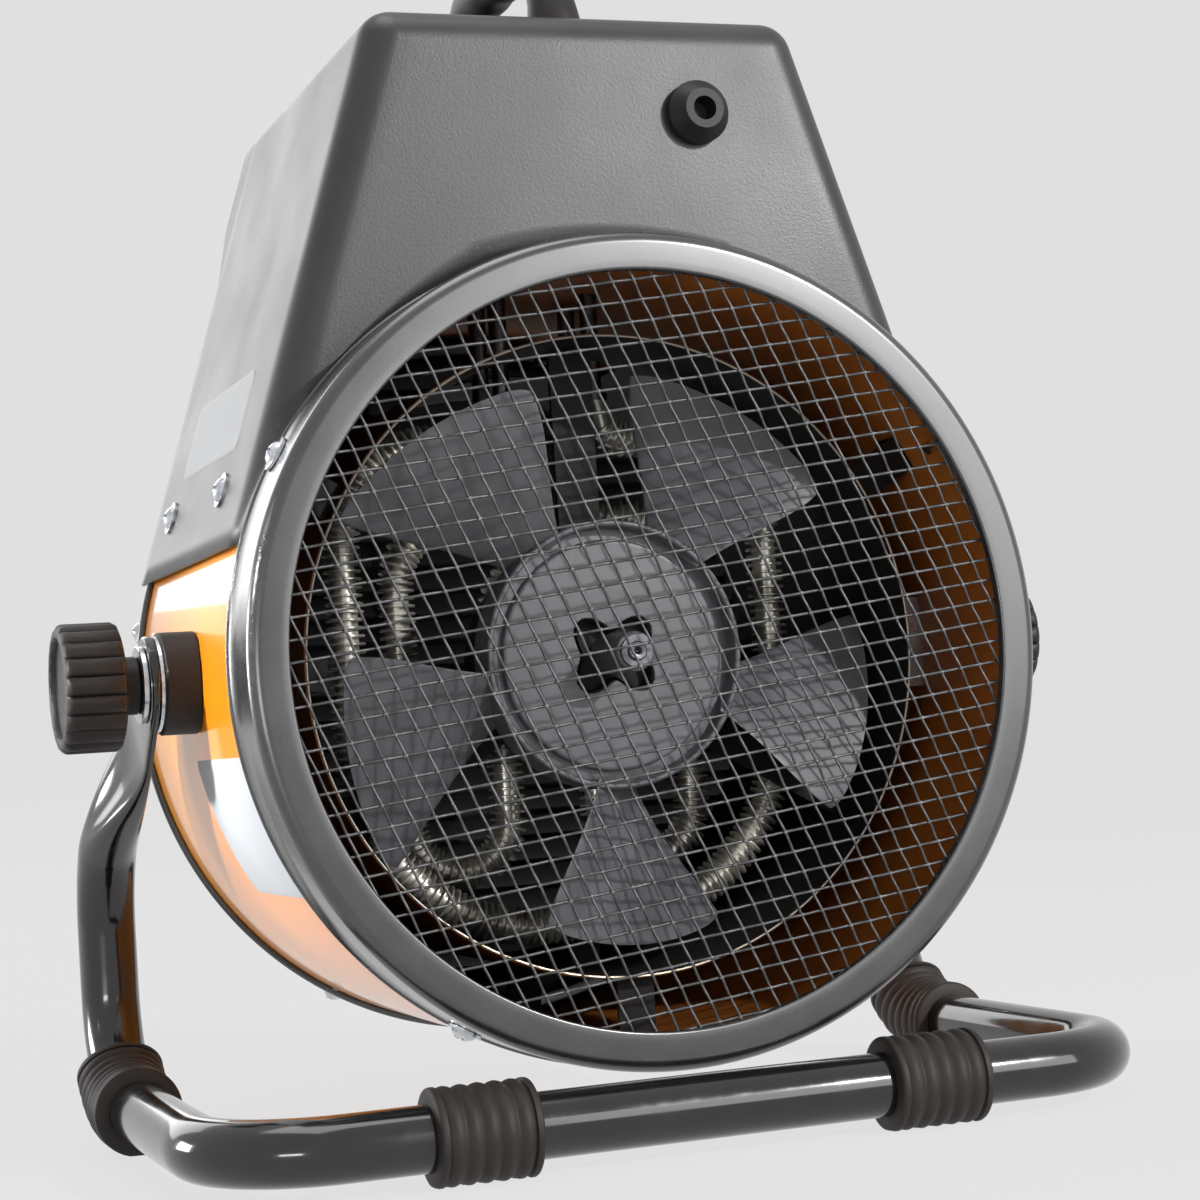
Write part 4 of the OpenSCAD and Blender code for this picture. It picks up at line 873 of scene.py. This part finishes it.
def tube_section(length):
    """Section of the tube at each distance (mm) from its flattened end. Flat there (3 by 30 mm, corners round), it
    grows to the 19 mm round tube between 37 and 95 mm. On the way its outer face has a valley that dies out."""
    flat_end, growth = 37, 58
    half_thick, half_wide, flat_x = 1.5, 15.0, 137.6
    valley_reach, valley_depth = 4.5, 6.5
    open_ = np.clip((length - flat_end) / growth, 0, 1)
    ease = open_ * open_ * (3 - 2 * open_)
    thick = half_thick + (TUBE_R - half_thick) * ease
    wide = half_wide + (TUBE_R - half_wide) * ease
    tip = np.clip(length / half_wide, 0, 1)
    wide = wide * np.sqrt(np.maximum(1 - (1 - tip) ** 2, 0.0)) + 0.01
    a = full_turn(48)[None]
    power = 1 / (1 + 2.2 * (1 - ease))[:, None]
    across = wide[:, None] * np.sign(np.cos(a)) * np.abs(np.cos(a)) ** power
    out = thick[:, None] * np.sign(np.sin(a)) * np.abs(np.sin(a)) ** power
    valley = np.exp(-((across / valley_reach) ** 2)) * (valley_depth * ease * (1 - ease) ** 1.2)[:, None]
    out = out - np.where(np.sin(a) > 0, valley, 0.35 * valley) * np.sign(np.sin(a))
    return across, out - (TUBE_X - flat_x) * (1 - ease)[:, None]


def stand():
    """The section carried along the path, its thin side kept across the arm."""
    path = stand_path()
    run = run_of(path)
    across, out = tube_section(np.minimum(run, run[-1] - run))
    tangent = unit(np.gradient(path, axis=0))
    outward = np.zeros_like(path)
    outward[:, 0] = np.where(np.arange(len(path)) <= len(path) // 2, 1.0, -1.0)
    corner = np.abs(tangent[:, 0]) > 1e-6
    outward[corner] = np.cross(tangent[corner], [0, 0, 1.0])
    outward[corner] *= np.sign((outward[corner] * (path[corner] - [0, 30, RUN_H])).sum(1))[:, None]
    outward = unit(outward)
    flat = np.cross(outward, tangent)
    points = path[:, None] + flat[:, None] * across[..., None] + outward[:, None] * out[..., None]
    points[..., 1] += PIVOT_Y
    return sheet(capped(points * 0.001), wrap_v=True)


piece("bent_stand_tube", [stand()], gloss, "stand", ["stand_tube"], 50)


def sleeve(path, outward, stations, ribs):
    """A rubber sleeve along a path: 14 mm radius, rounded ends, grooves 0.9 mm deep between its ribs, flat below."""
    outer_r, groove, lip_r = 14.0, 0.9, 1.2
    path = np.asarray(path, float)
    run = run_of(path)
    place = np.linspace(0, run[-1], stations)
    line = along_line(place, run, path)
    f = place / run[-1]
    rib = 0.5 + 0.5 * np.cos(TAU * ribs * f)
    radius = outer_r - groove * (1 - rib**0.5) * (np.minimum(f, 1 - f) > 0.5 / ribs)
    lip = np.minimum(place, run[-1] - place)
    rounded = lip_r - np.sqrt(np.maximum(lip_r**2 - (lip_r - lip) ** 2, 0))
    radius = radius - np.where(lip < lip_r, rounded, 0)
    points = carried(line, outward, ring_section(1.0, 48)[None] * radius[:, None, None])
    inner = carried(line, outward, ring_section(TUBE_R + 0.05, 48))
    points = np.concatenate([inner[:1], points, inner[-1:]])
    points[..., 1] += PIVOT_Y
    points[..., 2] = np.maximum(points[..., 2], 0.02)
    return sheet(points * 0.001, wrap_v=True)


sole = np.vstack([arc(*FLOOR_BEND_AT, FLOOR_BEND, 225, 270, 20), [[-30, RUN_H], [-25, RUN_H]]])
front_sleeves = []
rear_sleeves = []
for side in (-1, 1):
    front_path = np.column_stack([np.full(len(sole), side * TUBE_X), sole])
    front_sleeves.append(sleeve(front_path, [1.0, 0, 0], 90, 7))
    rear_path = [[side * 70 - 15, REAR_RUN, RUN_H], [side * 70 + 15, REAR_RUN, RUN_H]]
    rear_sleeves.append(sleeve(rear_path, [0, 0, 1.0], 80, 6))
piece("ribbed_front_sleeves", front_sleeves, rubber, "stand", ["front_feet"], 50)
piece("ribbed_rear_sleeves", rear_sleeves, rubber, "stand", ["rear_feet"], 50)

# ---------------------------------------------------------------- pivot and clamp knobs


def on_pivot(side, x, radius, angle):
    """A place on the tilt axis: distance x out from the drum's middle, radius and angle (radians) round the axis."""
    x, radius, angle = np.broadcast_arrays(x, radius, angle)
    return np.stack([side * x, PIVOT_Y + radius * np.cos(angle), AXIS_Z + radius * np.sin(angle)], -1) * 0.001


KNOB_R = 20.0
KNOB_RIBS = 20


def clamp_knob(side):
    """Moulded knob: collar, ribbed grip and dished face. The grip's radius is 20 - 1.7 (1 - |cos(10 a)|^0.45) mm, and
    the ribs fade out at the rounded front edge."""
    line = np.vstack([
        [[4.05, 141.3], [8.6, 141.3], [9.0, 141.7], [9.0, 146.2]],
        [[10.5, 146.8], [17.6, 146.9], [19.3, 147.5], [KNOB_R, 148.6], [KNOB_R, 156], [KNOB_R, 162.6]],
        arc(17.6, 163.2, 2.4, 0, 80, 6),
        [[16.4, 165.6], [15.6, 165.0], [15.3, 163.7], [14.2, 163.3], [8, 163.2], [4.0, 163.2], [0.0, 163.2]],
    ])
    ribs = np.interp(line[:, 1], [147.0, 149.0, 162.6, 165.4], [0, 1, 1, 0.25]) * (line[:, 0] > 15.9)
    a = full_turn(320)[:, None]
    groove = 1.7 * (1 - np.abs(np.cos(KNOB_RIBS / 2 * a)) ** 0.45)
    return sheet(on_pivot(side, line[None, :, 1], line[None, :, 0] - groove * ribs[None], a), wrap_u=True)


for word, side in (("left", 1), ("right", -1)):
    knob = [clamp_knob(side)]
    piece(f"{word}_ribbed_knob", knob, plastic, f"{word}_clamp", [f"{word}_clamp_knob"], 40)


def saddle_spacer(side):
    """The plastic spacer: its inner end is hollowed to sit on the drum, so x there is the drum's circle at that
    height. Its first five points lie on that end, and the others have an x of their own."""
    a = full_turn(96)[:, None]
    radius = np.array([4.4, 10.0, 15.4, 16.0, 16.0, 16.0, 15.4, 14.6, 4.4])[None]
    seat = np.sqrt(123.78**2 - (radius[:, :5] * np.sin(a)) ** 2) + [[0, 0, 0, 0.6, 3]]
    outer = np.array([[134.2, 134.8, 134.97, 134.97]]) + 0 * a
    return sheet(on_pivot(side, np.hstack([seat, outer]), radius, a), wrap_u=True, wrap_v=True)


def washer(side):
    """A turned washer with small chamfers on the tilt axis."""
    line = np.array([[4.2, 139.15], [11.7, 139.15], [12.0, 139.45], [12.0, 140.8], [11.7, 141.1], [4.2, 141.1]])
    return sheet(on_pivot(side, line[None, :, 1], line[None, :, 0], full_turn(96)[:, None]), wrap_u=True, wrap_v=True)


spacers = [saddle_spacer(side) for side in (-1, 1)]
# The spacers take the darker plastic, which is painted shade.
piece("saddle_spacers", spacers, shaded_spacer_plastic, "heater", ["pivot_spacers"], 40)
washers = [washer(side) for side in (-1, 1)]
piece("clamp_washers_turned", washers, zinc, "stand", ["clamp_washers"], 40)

# ---------------------------------------------------------------- handle


HANDLE_MIDDLE = 107.5  # depth


def handle():
    """Moulded bow handle: feet at 59.5 and 155.5 mm, legs that lean 12 mm inwards, and a grip 17.8 mm thick with
    shallow finger waves 18 mm apart below, carried along one smooth line."""
    key = np.array([
        [59.5, 75.05], [60.0, 80], [62.5, 90], [66.0, 101], [71.5, 107.8], [80, 109.5], [HANDLE_MIDDLE, 110.0],
    ])
    key = np.vstack([key, (key[-2::-1] - [2 * HANDLE_MIDDLE, 0]) * [-1, 1]])
    run = run_of(key)
    place = np.linspace(0, run[-1], 120)
    line = along_line(place, run, key)
    for _ in range(30):
        line[1:-1] = 0.5 * line[1:-1] + 0.25 * (line[:-2] + line[2:])
    f = np.minimum(place, run[-1] - place)
    size = np.interp(f, [0, 3, 12, 34, 50], [9.0, 8.9, 7.6, 7.9, 8.9])
    a = full_turn(40)
    tangent = unit(np.gradient(line, axis=0))
    normal = np.stack([-tangent[:, 1], tangent[:, 0]], -1)
    x = size[:, None] * np.cos(a)
    lift = size[:, None] * np.sin(a)
    finger = 0.35 * np.cos(TAU * (place - run[-1] / 2) / 18.0) * np.interp(f, [48, 58], [0, 1])
    lift = lift - np.where(np.sin(a) * np.sign(normal[:, 1:2]) < -0.2, finger[:, None], 0.0)
    depth = line[:, :1] + normal[:, :1] * lift
    up = 125 + line[:, 1:] + normal[:, 1:] * lift
    return sheet(capped(at(x, np.maximum(up, BOX_TOP + 0.05), depth)), wrap_v=True)


piece("moulded_handle", [handle()], plastic, "heater", ["carry_handle"], 40)

# ---------------------------------------------------------------- floor, light, camera


def seen_ray(tree):
    """Is 1 for rays from the camera, through glass or off a reflection, else 0."""
    ray = add(tree, "ShaderNodeLightPath").outputs
    either = {"operation": "MAXIMUM"}
    direct = add(tree, "ShaderNodeMath", either, i0=ray["Is Camera Ray"], i1=ray["Is Transmission Ray"])
    return add(tree, "ShaderNodeMath", either, i0=direct.outputs[0], i1=ray["Is Glossy Ray"]).outputs[0]


def stage_material(name, colour, strength):
    """Pale paper: what the camera, glass and polished metal see is partly its own even tone, and the rest is lit."""
    m = bpy.data.materials.new(name)
    m.use_nodes = True
    t = m.node_tree
    paint = t.nodes["Principled BSDF"]
    paint.inputs["Base Color"].default_value = linear(colour)
    paint.inputs["Roughness"].default_value = 0.9
    paint.inputs["Specular IOR Level"].default_value = 0.0
    share = add(t, "ShaderNodeMath", {"operation": "MULTIPLY", 1: strength}, i0=seen_ray(t))
    glow = add(t, "ShaderNodeEmission", {"Color": linear(colour), "Strength": 1.0})
    mix = add(t, "ShaderNodeMixShader", None, i0=share.outputs[0], i1=paint.outputs[0], i2=glow.outputs[0])
    t.links.new(mix.outputs[0], t.nodes["Material Output"].inputs["Surface"])
    return m


def paper_sweep():
    """Paper under the heater that runs back and rises behind it in one curve of 1.2 m radius."""
    floor = [[y, 0] for y in (2.6, 1.5, 0.5, -0.5, -1.6)]
    line = np.vstack([floor, arc(-1.8, 1.2, 1.2, 270, 180, 20), [[-3.0, 2.2], [-3.0, 3.4]]])
    x = np.linspace(-4.5, 4.5, 7)
    points = np.stack(np.broadcast_arrays(x[None], line[:, :1], line[:, 1:]), -1)
    verts, quads = sheet(points)
    mesh = bpy.data.meshes.new("paper_sweep")
    mesh.from_pydata(verts.tolist(), [], quads.tolist())
    mesh.polygons.foreach_set("use_smooth", np.ones(len(mesh.polygons), bool))
    mesh.materials.append(stage_material("pale paper", "#e6e6e6", 0.9))
    obj = bpy.data.objects.new("paper_sweep", mesh)
    bpy.context.scene.collection.objects.link(obj)


paper_sweep()

world = bpy.data.worlds.new("studio")
bpy.context.scene.world = world
world.use_nodes = True
w = world.node_tree
plain_back = add(w, "ShaderNodeBackground", {"Color": linear("#e3e3e3"), "Strength": 1.0})
soft_back = w.nodes["Background"]
soft_back.inputs["Color"].default_value = linear("#f2f2f2")
soft_back.inputs["Strength"].default_value = 0.14
mixed = add(w, "ShaderNodeMixShader", None, i0=seen_ray(w), i1=soft_back.outputs[0], i2=plain_back.outputs[0])
w.links.new(mixed.outputs[0], w.nodes["World Output"].inputs["Surface"])


def lamp(name, place, target, size, watts, spread=180):
    """A soft area lamp that looks at a place. The spread in degrees says how widely it shines."""
    data = bpy.data.lights.new(name, "AREA")
    data.shape = "RECTANGLE"
    data.size, data.size_y = size
    data.energy = watts
    data.spread = np.radians(spread)
    obj = bpy.data.objects.new(name, data)
    bpy.context.scene.collection.objects.link(obj)
    obj.location = place
    obj.rotation_euler = (Vector(target) - Vector(place)).to_track_quat("-Z", "Y").to_euler()
    obj.visible_camera = False


lamp("key_softbox", (-1.15, 1.9, 0.62), (-0.05, 0.05, 0.17), (1.35, 0.95), 14)
lamp("small_key", (-1.05, 1.75, 1.05), (0, 0, 0.15), (0.04, 0.04), 30)
lamp("front_softbox", (0.5, -1.8, 0.95), (0, 0, 0.2), (1.5, 1.1), 10)
lamp("overhead_softbox", (0.15, 0.1, 1.9), (0, 0, 0.15), (1.2, 1.0), 10)
lamp("side_softbox", (1.45, -0.95, 0.32), (0.1, 0, 0.15), (0.5, 0.4), 12)
lamp("side_spot", (1.3, 0.25, 0.6), (0.12, 0.02, 0.125), (0.06, 0.06), 0.08, spread=8)
lamp("low_fill", (1.0, 1.5, 0.1), (-0.05, 0.05, 0.17), (0.5, 0.15), 3.5)

# The camera fitted to the photograph: where it stands and where it looks, in metres, and its roll in degrees
CAMERA_PLACE = Vector((0.28145, 0.80976, 0.11956))
CAMERA_TARGET = Vector((-0.01535, 0.0, 0.16722))
CAMERA_ROLL = -3.813
camera = bpy.data.cameras.new("photograph")
camera.sensor_width = 36.0
camera.lens = 77.88
view = bpy.data.objects.new("photograph", camera)
bpy.context.scene.collection.objects.link(view)
aim = (CAMERA_TARGET - CAMERA_PLACE).to_track_quat("-Z", "Y")
roll = Quaternion((0, 0, 1), np.radians(CAMERA_ROLL))
view.matrix_world = Matrix.Translation(CAMERA_PLACE) @ (aim @ roll).to_matrix().to_4x4()
bpy.context.scene.camera = view
bpy.context.scene.view_settings.view_transform = "Standard"
